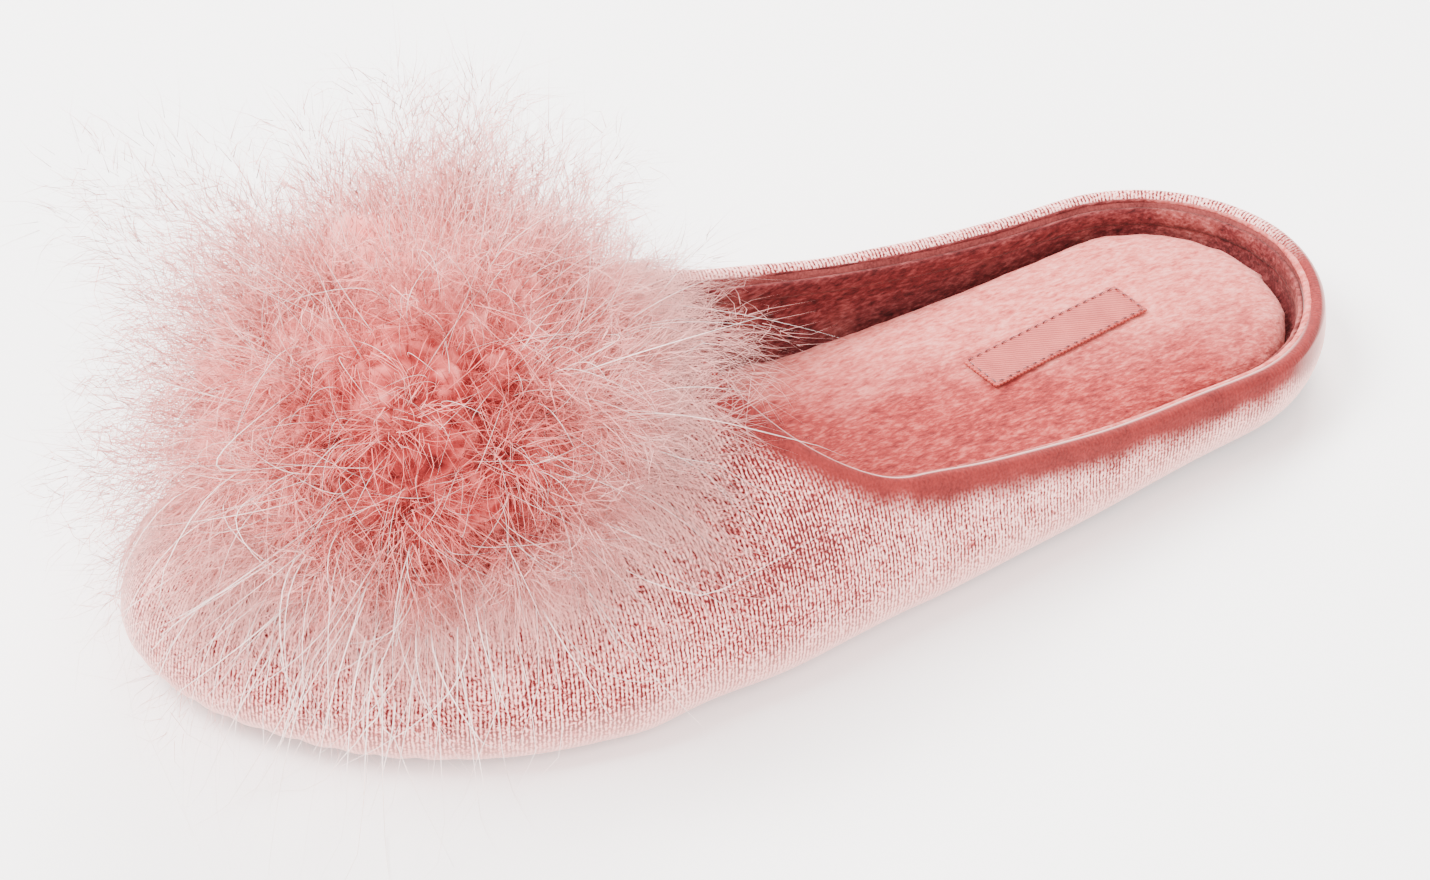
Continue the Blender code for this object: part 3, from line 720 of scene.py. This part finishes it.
# %% [markdown]
# A small woven label lies on the heel of the insole, bare, with a satin face. It takes the
# frame's label, cut finer, and each of its corners is dropped onto the pad beneath. Its
# stitches are short bowed threads round the edge, made as strands by the next cell's helper.

# %% Woven label
LABEL_REST = 0.25 * MM
FRAME_GAP = 0.3 * MM  # between the frame's label and its insole
LABEL_REACH = 1.5 * MM  # how far round it a corner of the label feels the pad

woven_label = copy_of("insole_label", "woven_label")
finish_with(woven_label, "BEVEL", width=0.2 * MM, segments=2, limit_method="ANGLE")
edit(
    woven_label,
    lambda: bpy.ops.mesh.select_all(action="SELECT"),
    lambda: bpy.ops.mesh.subdivide(number_cuts=3),
)
pad_tree = surface_tree(plush_insole)
DOWN = Vector((0, 0, -1))
SKY = 0.1


def height_over(tree, x, y):
    """Height of the first surface met from above."""
    return tree.ray_cast(Vector((x, y, SKY)), DOWN)[0].z


def height_below_label(x, y):
    """Height of the pad, evened out so that the pile's tufts don't show through the label."""
    moves = (-LABEL_REACH, 0, LABEL_REACH)
    heights = [height_over(pad_tree, x + dx, y + dy) for dx in moves for dy in moves]
    return (max(heights) + sum(heights) / len(heights)) / 2


label_points = points_of(woven_label)
frame_insole = surface_tree(frame["nodes"]["insole"])
for point in label_points:
    level = point[2] - height_over(frame_insole, point[0], point[1])
    point[2] = height_below_label(point[0], point[1]) + level + LABEL_REST - FRAME_GAP
set_points(woven_label, label_points)
smooth(woven_label, 50)


WAVE_SPACING = math.pi / 10  # between two waves of a Wave Texture, at scale 1


def label_satin():
    """Woven polyester satin: fine slanted floats of thread that catch the light along them."""
    material, tree, shader = new_material(
        "woven_polyester_satin", Roughness=0.6, Anisotropic=0.4, Specular_IOR_Level=0.15
    )
    place = node(tree, "TexCoord").outputs["Object"]
    turned = node(tree, "Mapping", {"Vector": place, "Rotation": (0.0, 0.0, math.radians(38))})
    # Real floats are about 0.2 mm apart, too fine to show, and are drawn 0.6 mm apart
    fine = every(0.604) * WAVE_SPACING
    floats = node(
        tree,
        "TexWave",
        {"Vector": turned, "Scale": fine, "Distortion": 0.8, "Detail": 2.0, "Detail Scale": 2.0},
    )
    cloudy = node(tree, "TexNoise", {"Vector": place, "Scale": every(3.85), "Detail": 3.0})
    both = node(tree, "Math", {0: floats.outputs["Fac"], 1: 0.55}, operation="MULTIPLY")
    both = node(tree, "Math", {0: cloudy, 1: 0.45, 2: both}, operation="MULTIPLY_ADD")
    colour = node(tree, "ValToRGB", {0: both}, stops=((0.15, "#7C2523"), (0.85, "#B8564E")))
    tree.links.new(colour.outputs[0], shader.inputs["Base Color"])
    bump = node(tree, "Bump", {"Height": both, "Distance": 0.07 * MM, "Strength": 0.7})
    tree.links.new(bump.outputs[0], shader.inputs["Normal"])
    return material


woven_label.data.materials.append(label_satin())
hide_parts("insole_label")
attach(woven_label, "root")
print("woven_label", len(woven_label.data.polygons), "faces")

# %% [markdown]
# Stitches and feathers are both strands, so one helper makes them all. It takes the points of
# many thin strands as one array and joins them as a single mesh: each strand is a closed,
# three-sided tube that tapers to its tip, a few dozen faces at most.

# %% Strands from arrays
def strand_mesh(name, paths, radius, **attributes):
    """Joins closed tapered strands: paths is strands x places x 3, radius one for each strand."""
    count, places, _ = paths.shape
    rings = places - 1
    axis = paths[:, -1] - paths[:, 0]
    axis /= np.linalg.norm(axis, axis=1, keepdims=True) + 1e-12
    helper = np.where(np.abs(axis[:, 2:]) < 0.8, (0.0, 0.0, 1.0), (1.0, 0.0, 0.0))
    side = np.cross(axis, helper)
    side /= np.linalg.norm(side, axis=1, keepdims=True)
    other = np.cross(axis, side)
    corners = np.empty((count, rings * 3 + 1, 3))
    for ring in range(rings):
        thick = (np.asarray(radius) * (1 - ring / rings))[:, None]
        for corner in range(3):
            turn = 2 * math.pi * corner / 3
            offset = side * math.cos(turn) + other * math.sin(turn)
            corners[:, ring * 3 + corner] = paths[:, ring] + offset * thick
    corners[:, -1] = paths[:, -1]

    loops, sizes = [0, 2, 1], [3]
    for ring in range(rings - 1):
        for corner in range(3):
            after = (corner + 1) % 3
            base, top = ring * 3, ring * 3 + 3
            loops += [base + corner, base + after, top + after, top + corner]
            sizes.append(4)
    for corner in range(3):
        loops += [rings * 3 - 3 + corner, rings * 3 - 3 + (corner + 1) % 3, rings * 3]
        sizes.append(3)
    all_loops = np.array(loops) + np.arange(count)[:, None] * corners.shape[1]
    starts = np.append(0, np.cumsum(sizes[:-1])) + np.arange(count)[:, None] * len(loops)

    mesh = bpy.data.meshes.new(name)
    mesh.vertices.add(corners.shape[0] * corners.shape[1])
    mesh.vertices.foreach_set("co", corners.ravel())
    mesh.loops.add(all_loops.size)
    mesh.loops.foreach_set("vertex_index", all_loops.ravel().astype(np.int32))
    mesh.polygons.add(starts.size)
    mesh.polygons.foreach_set("loop_start", starts.ravel().astype(np.int32))
    mesh.update(calc_edges=True)
    made = bpy.data.objects.new(name, mesh)
    bpy.context.scene.collection.objects.link(made)
    for attribute, values in attributes.items():
        spread = np.repeat(values[:, :rings], 3, axis=1)
        give_attribute(made, attribute, np.concatenate([spread, values[:, -1:]], axis=1).ravel())
    smooth(made)
    return made


# %% [markdown]
# The label is sewn on with dark red thread, in small stitches that bow up between their holes.

# %% Label stitches
STITCH_PITCH = 2.1 * MM
STITCH_LENGTH = 1.6 * MM
STITCH_INSET = 0.65 * MM
STITCH_RADIUS = 0.24 * MM
STITCH_BOW = 0.30 * MM
STITCH_PLACES = 6


def label_corners():
    """The four corners of the label in plan, taken from its frame node's outermost places."""
    points = points_of(frame["nodes"]["insole_label"])[:, :2]
    middle = points.mean(axis=0)
    spread = np.linalg.svd(points - middle, full_matrices=False)[2]
    half = np.abs((points - middle) @ spread.T).max(axis=0) - STITCH_INSET
    signs = ((1, 1), (-1, 1), (-1, -1), (1, -1))
    return [middle + (np.array(sign) * half) @ spread for sign in signs]


woven_tree = surface_tree(woven_label)
corners = label_corners()
stitch_paths = []
for start, end in zip(corners, corners[1:] + corners[:1]):
    run = np.linalg.norm(end - start)
    for i in range(round(run / STITCH_PITCH)):
        middle = (i + 0.5) / round(run / STITCH_PITCH)
        path = []
        for t in np.linspace(-0.5, 0.5, STITCH_PLACES):
            x, y = start + (end - start) * (middle + t * STITCH_LENGTH / run)
            bow = STITCH_BOW * (1 - (2 * t) ** 2)
            path.append((x, y, height_over(woven_tree, x, y) + bow))
        stitch_paths.append(path)
stitch_paths = np.array(stitch_paths)
label_stitches = strand_mesh("label_stitches", stitch_paths, np.full(len(stitch_paths), STITCH_RADIUS))


def thread():
    """Spun polyester thread: matt, dark red, with a faint twist."""
    material, tree, shader = new_material("spun_polyester_thread", Roughness=0.75, Sheen_Weight=0.3)
    place = node(tree, "TexCoord").outputs["Object"]
    twist = node(tree, "TexNoise", {"Vector": place, "Scale": every(0.385), "Detail": 1.0})
    colour = node(tree, "ValToRGB", {0: twist}, stops=((0.3, "#4A1012"), (0.7, "#7E2423")))
    tree.links.new(colour.outputs[0], shader.inputs["Base Color"])
    bump = node(tree, "Bump", {"Height": twist, "Distance": 0.05 * MM, "Strength": 0.6})
    tree.links.new(bump.outputs[0], shader.inputs["Normal"])
    return material


label_stitches.data.materials.append(thread())
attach(label_stitches, "root")
print("label_stitches", len(stitch_paths), "stitches")

# %% [markdown]
# The pom pom is marabou: some hundreds of soft plumes, tied together at one root on the vamp.
# Each plume is a thin shaft with fine barbs all along it, and the barbs, not the shafts, make
# the cloud. Combing real hair here would need millions of faces, so the cloud has three depths:
# a soft body inside, tufts of barbs round it, and a few long single hairs that stand out of it.
# One function gives the reach of the cloud in each direction. It is longest over the toe and
# short on the side where the plumes part and show their roots, which are painted deep red there
# as shade.

# %% Reach of the pom pom
PARTING_WAY = (0.77, -0.36, 0.53)  # where the plumes part
PARTING_WIDTH = 0.70  # radians
PARTING_SHADE = 0.31
POM_REACH = 55.5  # mm
REACH_TABLE = (
    # towards x, y, z, and the change in mm
    (-0.70, -0.70, 0.10, 8.0),
    (0.00, 0.00, 1.00, 2.5),
    (-0.80, 0.10, 0.30, 1.5),
    (0.20, 0.95, 0.10, -8.0),
    (0.90, 0.00, 0.10, -10.0),
    (0.45, -0.50, -0.75, -11.0),
)
rng = np.random.default_rng(5)


def unit(vectors):
    return vectors / (np.linalg.norm(vectors, axis=-1, keepdims=True) + 1e-12)


def cloud_reach(directions):
    """Length in metres of the fluff from the root, for each direction."""
    reach = np.full(directions.shape[:-1], POM_REACH)
    for x, y, z, change in REACH_TABLE:
        facing = directions @ unit(np.array((x, y, z)))
        reach += change * np.clip(facing, 0, 1) ** 2
    return reach * MM


def near_parting(directions):
    """1 in the middle of the parting and 0 far from it."""
    angle = np.arccos(np.clip(directions @ unit(np.array(PARTING_WAY)), -1, 1))
    return np.exp(-((angle / PARTING_WIDTH) ** 2))


def even_directions(count):
    """Directions spread evenly over a ball, on a golden spiral."""
    i = np.arange(count) + 0.5
    z = 1 - 2 * i / count
    flat = np.sqrt(1 - z * z)
    turn = math.pi * (3 - math.sqrt(5)) * i
    return np.stack([flat * np.cos(turn), flat * np.sin(turn), z], axis=1)


# %% [markdown]
# Feathers lie on the slipper and never go through it. A convex skin round the whole upper is
# the surface they rest on, because it also bridges the collar, and any point that would end up
# inside it is moved out to just over the velvet. The same function keeps the longest hairs
# within 9 mm of the frame's box.

# %% Resting feathers on the velvet
LIE_OVER = 0.5 * MM
ROOM = 9.0 * MM
UNDERSIDE = -0.2  # a skin facing down more than this is the sole, where no feather lies
SOLE_HEIGHT = 2 * MM  # and a place lower than this has slipped through the sole
FLOOR_GAP = 0.3 * MM
LAYERS = 0.15  # share of its depth by which a place is lifted, so that hairs lie in layers 1 mm high

hull_mesh = bmesh.new()
hull_mesh.from_mesh(frame["nodes"]["upper"].data)
bmesh.ops.remove_doubles(hull_mesh, verts=hull_mesh.verts, dist=0.01 * MM)
hull = bmesh.ops.convex_hull(hull_mesh, input=hull_mesh.verts)
inside = list({item for key in ("geom_interior", "geom_unused") for item in hull[key]})
bmesh.ops.delete(hull_mesh, geom=[v for v in inside if isinstance(v, bmesh.types.BMVert)], context="VERTS")
skin_tree = BVHTree.FromBMesh(hull_mesh)
hull_mesh.free()


def rest_on_velvet(paths):
    """Moves places that lie under the velvet's skin out over it, and keeps all within 9 mm of the frame's
    box.
    """
    flat = paths.reshape(-1, 3)
    for i in np.flatnonzero(flat[:, 2] < upper_high[2] + LIE_OVER):
        spot, normal, _, _ = skin_tree.find_nearest(flat[i])
        depth = (spot - Vector(flat[i])).dot(normal)
        if normal.z < UNDERSIDE and (depth > 0 or flat[i, 2] < SOLE_HEIGHT):
            above = skin_tree.ray_cast(Vector((*flat[i, :2], SKY)), DOWN)
            if above[0]:
                spot, normal, depth = above[0], above[1], 0
        if depth > -LIE_OVER:
            flat[i] = spot + normal * (LIE_OVER + LAYERS * max(depth, 0) % MM)
    np.clip(flat, np.array(cad_low) - ROOM, np.array(cad_high) + ROOM, out=flat)
    flat[:, 2] = np.maximum(flat[:, 2], FLOOR_GAP)
    return flat.reshape(paths.shape)


def cloud_share(paths):
    """0 at the root and 1 where the cloud ends, for each place, and less in the parting as painted shade."""
    away = paths - POM_ROOT
    share = np.linalg.norm(away, axis=-1) / cloud_reach(unit(away))
    return share - PARTING_SHADE * near_parting(unit(away))


# %% [markdown]
# The soft body inside is a ball of fine faces pushed out to two thirds of the cloud's reach, with
# lumps for the bundles of down. It closes the gaps between the plumes.

# %% Body of the pom pom
BODY_SHARE = 0.69
BODY_FINENESS = (5, 24, 60)  # of its lumps, its small lumps and its down

bpy.ops.object.select_all(action="DESELECT")
bpy.ops.mesh.primitive_ico_sphere_add(subdivisions=6, radius=1.0, location=(0, 0, 0))
pom_body = bpy.context.object
pom_body.name = pom_body.data.name = "pom_body"
ways = unit(points_of(pom_body))
lumps, fine_lumps, hairy = (
    np.array([noise.noise(Vector(way) * fineness) for way in ways]) for fineness in BODY_FINENESS
)
body_share = BODY_SHARE + 0.07 * lumps + 0.035 * fine_lumps + 0.015 * hairy
body_points = POM_ROOT + ways * (cloud_reach(ways) * body_share)[:, None]
body_points = rest_on_velvet(body_points)
set_points(pom_body, body_points)
give_attribute(pom_body, "tip", cloud_share(body_points) + 0.02 + 0.25 * fine_lumps + 0.15 * hairy)
give_attribute(pom_body, "tone", lumps)
smooth(pom_body)
print("pom_body", len(pom_body.data.polygons), "faces")

# %% [markdown]
# A plume's end seen from outside is a tuft. Each tuft has its own way, length, curl and sag.
# Along it grow two kinds of side hair: long barbs that leave at a low angle and spread like a
# brush, and short curly down that leaves at all angles and makes the haze between them. Both
# are thickest at the foot, where their own side hairs are full, and hair thin at the tip.

# %% Tufts
TUFTS = 700
LOWEST_WAY = -0.55
GROWTH = (
    # name, parts, hairs on a tuft, places, from and to share, length in mm, spread in
    # degrees, curl, radius in mm
    ("pom_down", 4, 97, 3, 0.60, 1.0, (4.5, 10.0), (15, 75), 0.55, 0.105),
    ("pom_barbs", 1, 19, 4, 0.50, 0.82, (11.0, 19.0), (6, 40), 0.42, 0.105),
)


def at(shafts, share):
    """Places on smooth shafts: each shaft has a root, way, length, curl and sag."""
    root, way, length, curl, sag = shafts
    t = share[..., None]
    place = root + way * length * t + curl * length * t**2
    place[..., 2] -= (sag * length)[..., 0] * share**3
    return place


parting = unit(np.array(PARTING_WAY))
shaft_ways = unit(even_directions(TUFTS) + rng.normal(0, 0.08, (TUFTS, 3)))
shaft_ways = unit(shaft_ways - 0.18 * near_parting(shaft_ways)[:, None] * parting)
shaft_ways = shaft_ways[shaft_ways[:, 2] > LOWEST_WAY]
count = len(shaft_ways)
shaft_roots = POM_ROOT + rng.normal(0, 2.5 * MM, (count, 3))
shaft_lengths = (cloud_reach(shaft_ways) * rng.uniform(0.84, 1.04, count))[:, None]
shaft_lengths *= 1 - 0.18 * near_parting(shaft_ways)[:, None]
shaft_curls = rng.normal(0, 0.16, (count, 3))
shaft_sags = 0.03 + 0.10 * (1 - np.abs(shaft_ways[:, 2:]))
shafts = (shaft_roots, shaft_ways, shaft_lengths, shaft_curls, shaft_sags)
tuft_tones = rng.uniform(-1, 1, count)


def side_hairs(hairs, places, first, last, lengths, spread, curl):
    """Side hairs of all tufts, as tufts x hairs x places x 3."""
    each = tuple(part[:, None, :] for part in shafts)
    share = rng.uniform(first, last, (count, hairs))
    start = at(each, share)
    ahead = unit(at(each, share + 0.02) - start)
    around = unit(np.cross(ahead, rng.normal(0, 1, (count, hairs, 3))))
    aside = rng.uniform(0, 1, (count, hairs, 1)) ** 0.5
    start = start + around * aside * (1.0 + 6.0 * share[..., None] ** 2) * MM
    angle = np.radians(spread[0] + (spread[1] - spread[0]) * aside * rng.uniform(0.2, 1.0, aside.shape))
    length = rng.uniform(*lengths, aside.shape) * MM
    leaving = ahead * np.cos(angle) + around * np.sin(angle)
    bend = rng.normal(0, curl, (count, hairs, 3))
    steps = []
    for t in np.linspace(0, 1, places):
        place = start + leaving * length * t + bend * length * t**2
        place[..., 2] -= 0.08 * length[..., 0] * t**2
        steps.append(place)
    return np.stack(steps, axis=2)


print("tufts", count)

# %% [markdown]
# The feathers are dyed down, pink, and nearly white at the fine tips where the dye is thin. Near
# the root, where they are dense, they are painted deep coral as shade, and the tips are painted
# paler as light that comes through them.
# Down is so fine that light passes from barb to barb and shades the cloud as one soft ball, so
# the shading normal of each barb is bent towards the cloud's own. The packed down of the body has
# a grain besides, where the loose barbs are their own grain.

# %% Marabou down material
def marabou_down(name, own_grain):
    """Dyed down: matt keratin barbs, paler to their tips and painted darker to the root as shade, with a soft
    bloom from stray fibres.
    """
    material, tree, shader = new_material(
        name,
        Roughness=0.7,
        Sheen_Weight=0.3,
        Sheen_Roughness=0.5,
        Sheen_Tint=linear("#FFC4BC"),
        Specular_IOR_Level=0.15,
    )
    tip = node(tree, "Attribute", attribute_name="tip").outputs["Fac"]
    tone = node(tree, "Attribute", attribute_name="tone").outputs["Fac"]
    place = node(tree, "TexCoord").outputs["Object"]
    clouds = node(tree, "TexNoise", {"Vector": place, "Scale": every(11.8), "Detail": 2.0})
    # Darker near the root and in the parting as painted shade, and paler at the tips partly as painted light.
    shade = node(tree, "Math", {0: tone, 1: 0.07, 2: tip}, operation="MULTIPLY_ADD")
    shade = node(tree, "Math", {0: clouds, 1: 0.40, 2: shade}, operation="MULTIPLY_ADD")
    shade = node(tree, "Math", {0: shade, 1: 0.20}, operation="SUBTRACT")
    colour = node(
        tree,
        "ValToRGB",
        {0: shade},
        stops=(
            (0.30, "#6E1416"),
            (1.0, "#FFB2AA"),
            (0.46, "#A83231"),
            (0.64, "#DC6862"),
            (0.82, "#F7938B"),
        ),
    )
    tree.links.new(colour.outputs[0], shader.inputs["Base Color"])
    facing = node(tree, "NewGeometry").outputs["Normal"]
    if own_grain:
        grain = node(tree, "TexNoise", {"Vector": place, "Scale": every(0.77), "Detail": 3.0})
        facing = node(tree, "Bump", {"Height": grain, "Distance": 0.8 * MM, "Strength": 0.5}).outputs[0]
    away = node(tree, "VectorMath", {0: place, 1: POM_ROOT}, operation="SUBTRACT")
    away = node(tree, "VectorMath", {0: away}, operation="NORMALIZE")
    soft = node(tree, "VectorMath", {0: away, 1: (1.1, 1.1, 1.1), 2: facing}, operation="MULTIPLY_ADD")
    soft = node(tree, "VectorMath", {0: soft}, operation="NORMALIZE")
    tree.links.new(soft.outputs[0], shader.inputs["Normal"])
    return material


packed_down = marabou_down("packed_marabou_down", True)
loose_down = marabou_down("loose_marabou_down", False)
print("materials", packed_down.name, loose_down.name)

# %% [markdown]
# Now the side hairs grow on all tufts. The down is cut into four pieces of about 13,000 hairs,
# because a piece stays under 200,000 triangles. Hairs that start near the velvet are rested on
# it, and the few that this would pull apart are left out.

# %% Feather pieces
MOST_STRETCH = 6 * MM  # a strand whose places the velvet pulls further apart is left out


def feather_piece(name, paths, radius, tones):
    """Rests strands on the velvet and makes those that stay whole one piece of the pom pom."""
    rested = rest_on_velvet(paths.copy())
    was, now = (np.linalg.norm(np.diff(each, axis=1), axis=2).max(axis=1) for each in (paths, rested))
    whole = now < was + MOST_STRETCH
    paths, radius, tones = rested[whole], radius[whole], tones[whole]
    piece = strand_mesh(
        name,
        paths,
        radius,
        tip=cloud_share(paths),
        tone=np.repeat(tones[:, None], paths.shape[1], axis=1),
    )
    piece.data.materials.append(loose_down)
    triangles = sum(len(face.vertices) - 2 for face in piece.data.polygons)
    print(name, len(paths), "strands,", triangles, "triangles")
    return piece


pom_parts = [pom_body]
pom_body.data.materials.append(packed_down)
for name, parts, hairs_each, places, first, last, lengths, spread, curl, radius in GROWTH:
    grown = side_hairs(hairs_each, places, first, last, lengths, spread, curl)
    each_part = math.ceil(count / parts)
    for number in range(parts):
        chosen = slice(number * each_part, (number + 1) * each_part)
        paths = grown[chosen].reshape(-1, places, 3)
        tones = np.repeat(tuft_tones[chosen], hairs_each)
        thick = radius * MM * rng.uniform(0.6, 1.3, len(paths))
        thick *= 1.6 - 0.75 * cloud_share(paths[:, -1]).clip(0.5, 1.4)
        pom_parts.append(feather_piece(f"{name}_{number + 1}", paths, thick, tones))

# %% [markdown]
# Last come the single hairs: fine white ones that stand out of the cloud all round, others that
# fall over the near side and the toe and lie on the velvet, and short curls in the parting.

# %% Long hairs
STRAY_HAIRS = 1000
FALLEN_HAIRS = 200
CURLED_HAIRS = 50
HAIR_PLACES = 10
STRAY_RADIUS = 0.10 * MM
FALLEN_RADIUS = 0.18 * MM
CURLED_RADIUS = 0.12 * MM


def hairs(ways, lengths, start_share, bend, fall):
    """Single hairs that leave the cloud straight and bend and fall more and more after that."""
    number = len(ways)
    reach = lengths[:, None]
    root = POM_ROOT + rng.normal(0, 3 * MM, (number, 3))
    bends = rng.normal(0, bend, (number, 3)) - np.array((0, 0, fall)) * rng.uniform(0.2, 1.6, (number, 1))
    steps = []
    for share in np.linspace(start_share, 1, HAIR_PLACES):
        free = (share - start_share) / (1 - start_share)
        steps.append(root + ways * reach * share + bends * reach * (1 - start_share) * free**2)
    return np.stack(steps, axis=1)


stray_ways = unit(rng.normal(0, 1, (STRAY_HAIRS, 3)) + (-0.1, -0.1, 0.35))
stray_ways = stray_ways[stray_ways[:, 2] > -0.4]
stray_lengths = cloud_reach(stray_ways) * rng.uniform(0.95, 1.2, len(stray_ways))
stray = hairs(stray_ways, stray_lengths, 0.66, 0.38, 0.15)
fallen_ways = unit(rng.normal(0, 0.55, (FALLEN_HAIRS, 3)) + (0.62, -0.72, -0.22))
fallen_ways = fallen_ways[near_parting(fallen_ways) < 0.45]
fallen_lengths = rng.uniform(60, 90, len(fallen_ways)) * MM
fallen = hairs(fallen_ways, fallen_lengths, 0.52, 0.46, 0.35)
curled_ways = unit(rng.normal(0, 0.36, (CURLED_HAIRS, 3)) + parting)
curled_lengths = cloud_reach(curled_ways) * rng.uniform(0.76, 0.94, CURLED_HAIRS)
curled = hairs(curled_ways, curled_lengths, 0.74, 0.85, 0.15)
long_paths = np.concatenate([stray, fallen, curled])
long_counts = (len(stray), len(fallen), len(curled))
long_radius = np.repeat((STRAY_RADIUS, FALLEN_RADIUS, CURLED_RADIUS), long_counts)
long_radius *= rng.uniform(0.5, 1.2, len(long_paths))
pom_hairs = feather_piece("pom_hairs", long_paths, long_radius, rng.uniform(0, 1, len(long_paths)))


def pale_hair():
    """Undyed tips and guard hairs of marabou: smooth, nearly white, with a slight gloss."""
    material, tree, shader = new_material("pale_marabou_hair", Roughness=0.45, Specular_IOR_Level=0.5)
    place = node(tree, "TexCoord").outputs["Object"]
    tip = node(tree, "Attribute", attribute_name="tip").outputs["Fac"]
    dye = node(tree, "TexNoise", {"Vector": place, "Scale": every(6.67), "Detail": 2.0})
    shade = node(tree, "Math", {0: dye, 1: 0.5, 2: tip}, operation="MULTIPLY_ADD")
    dyed = ((0.45, "#E8857E"), (0.95, "#FFE6E0"), (0.75, "#FFC4BC"))
    colour = node(tree, "ValToRGB", {0: shade}, stops=dyed)
    tree.links.new(colour.outputs[0], shader.inputs["Base Color"])
    return material


pom_hairs.data.materials[0] = pale_hair()
pom_parts.append(pom_hairs)

for part in pom_parts:
    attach(part, "root")
    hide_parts("pompom")

# %% [markdown]
# The sole keeps its frame solid, whose outline is already right. Under such slippers it is a
# thin sheet of soft rubber with a fine raised grain, in the velvet's own rose.

# %% Sole material
def sole_rubber():
    """Moulded thermoplastic rubber: dull and slightly soft, with small grip dots."""
    material, tree, shader = new_material(
        "moulded_sole_rubber", Roughness=0.62, Specular_IOR_Level=0.4, Coat_Weight=0.04, Coat_Roughness=0.5
    )
    place = node(tree, "TexCoord").outputs["Object"]
    dots = node(tree, "TexVoronoi", {"Vector": place, "Scale": every(2.38), "Randomness": 0.0})
    studs = node(tree, "MapRange", {0: dots.outputs["Distance"], 1: 0.25, 2: 0.42, 3: 1.0, 4: 0.0})
    scuffs = node(tree, "TexNoise", {"Vector": place, "Scale": every(16.7), "Detail": 5.0, "Roughness": 0.65})
    colour = node(tree, "ValToRGB", {0: scuffs}, stops=((0.3, "#A3625C"), (0.7, "#BC7B74")))
    tree.links.new(colour.outputs[0], shader.inputs["Base Color"])
    rough = node(tree, "MapRange", {0: scuffs, 1: 0.3, 2: 0.7, 3: 0.55, 4: 0.75})
    tree.links.new(rough.outputs[0], shader.inputs["Roughness"])
    bump = node(tree, "Bump", {"Height": studs, "Distance": 0.3 * MM, "Strength": 0.7})
    tree.links.new(bump.outputs[0], shader.inputs["Normal"])
    return material


rubber = sole_rubber()
for material_slot in frame["nodes"]["outsole"].material_slots:
    material_slot.material = rubber
print("outsole has", rubber.name)

# %% [markdown]
# The studio is a pale floor that glows a little, as a light table does, one large soft light over
# the shoulder, a weaker one opposite, one behind, and pale light from all round. Together they
# keep the shadows open.

# %% Floor and light
LIGHTS = (
    # name, place in metres, size in metres, power in watts
    ("key_light", (-0.35, -0.85, 1.35), 0.9, 84.0),
    ("fill_light", (1.25, -0.15, 0.95), 1.3, 36.0),
    ("back_light", (-0.95, 0.75, 0.9), 0.8, 56.0),
)


def plain_floor():
    """A pale paper sweep on a light table, with a grain too fine to see."""
    material, tree, shader = new_material(
        "pale_paper",
        Roughness=0.9,
        Specular_IOR_Level=0.1,
        Emission_Color=linear("#FFFDFC"),
        Emission_Strength=0.35,
    )
    place = node(tree, "TexCoord").outputs["Object"]
    grain = node(tree, "TexNoise", {"Vector": place, "Scale": every(1.11)})
    colour = node(tree, "ValToRGB", {0: grain}, stops=((0.3, "#F8F6F4"), (0.7, "#FBF9F8")))
    tree.links.new(colour.outputs[0], shader.inputs["Base Color"])
    return material


bpy.ops.object.select_all(action="DESELECT")
bpy.ops.mesh.primitive_plane_add(size=8, location=(0, 0, -0.0002))
floor = bpy.context.object
floor.name = "pale_floor"
floor.data.materials.append(plain_floor())

for name, place, size, power in LIGHTS:
    bpy.ops.object.light_add(type="AREA", location=place)
    light = bpy.context.object
    light.name = name
    light.data.size = size
    light.data.energy = power
    light.rotation_euler = (LOOK_AT - Vector(place)).to_track_quat("-Z", "Y").to_euler()

world = bpy.data.worlds.new("pale_room")
world.use_nodes = True
world.node_tree.nodes["Background"].inputs["Color"].default_value = linear("#FBF7F5")
world.node_tree.nodes["Background"].inputs["Strength"].default_value = 1.32
bpy.context.scene.world = world
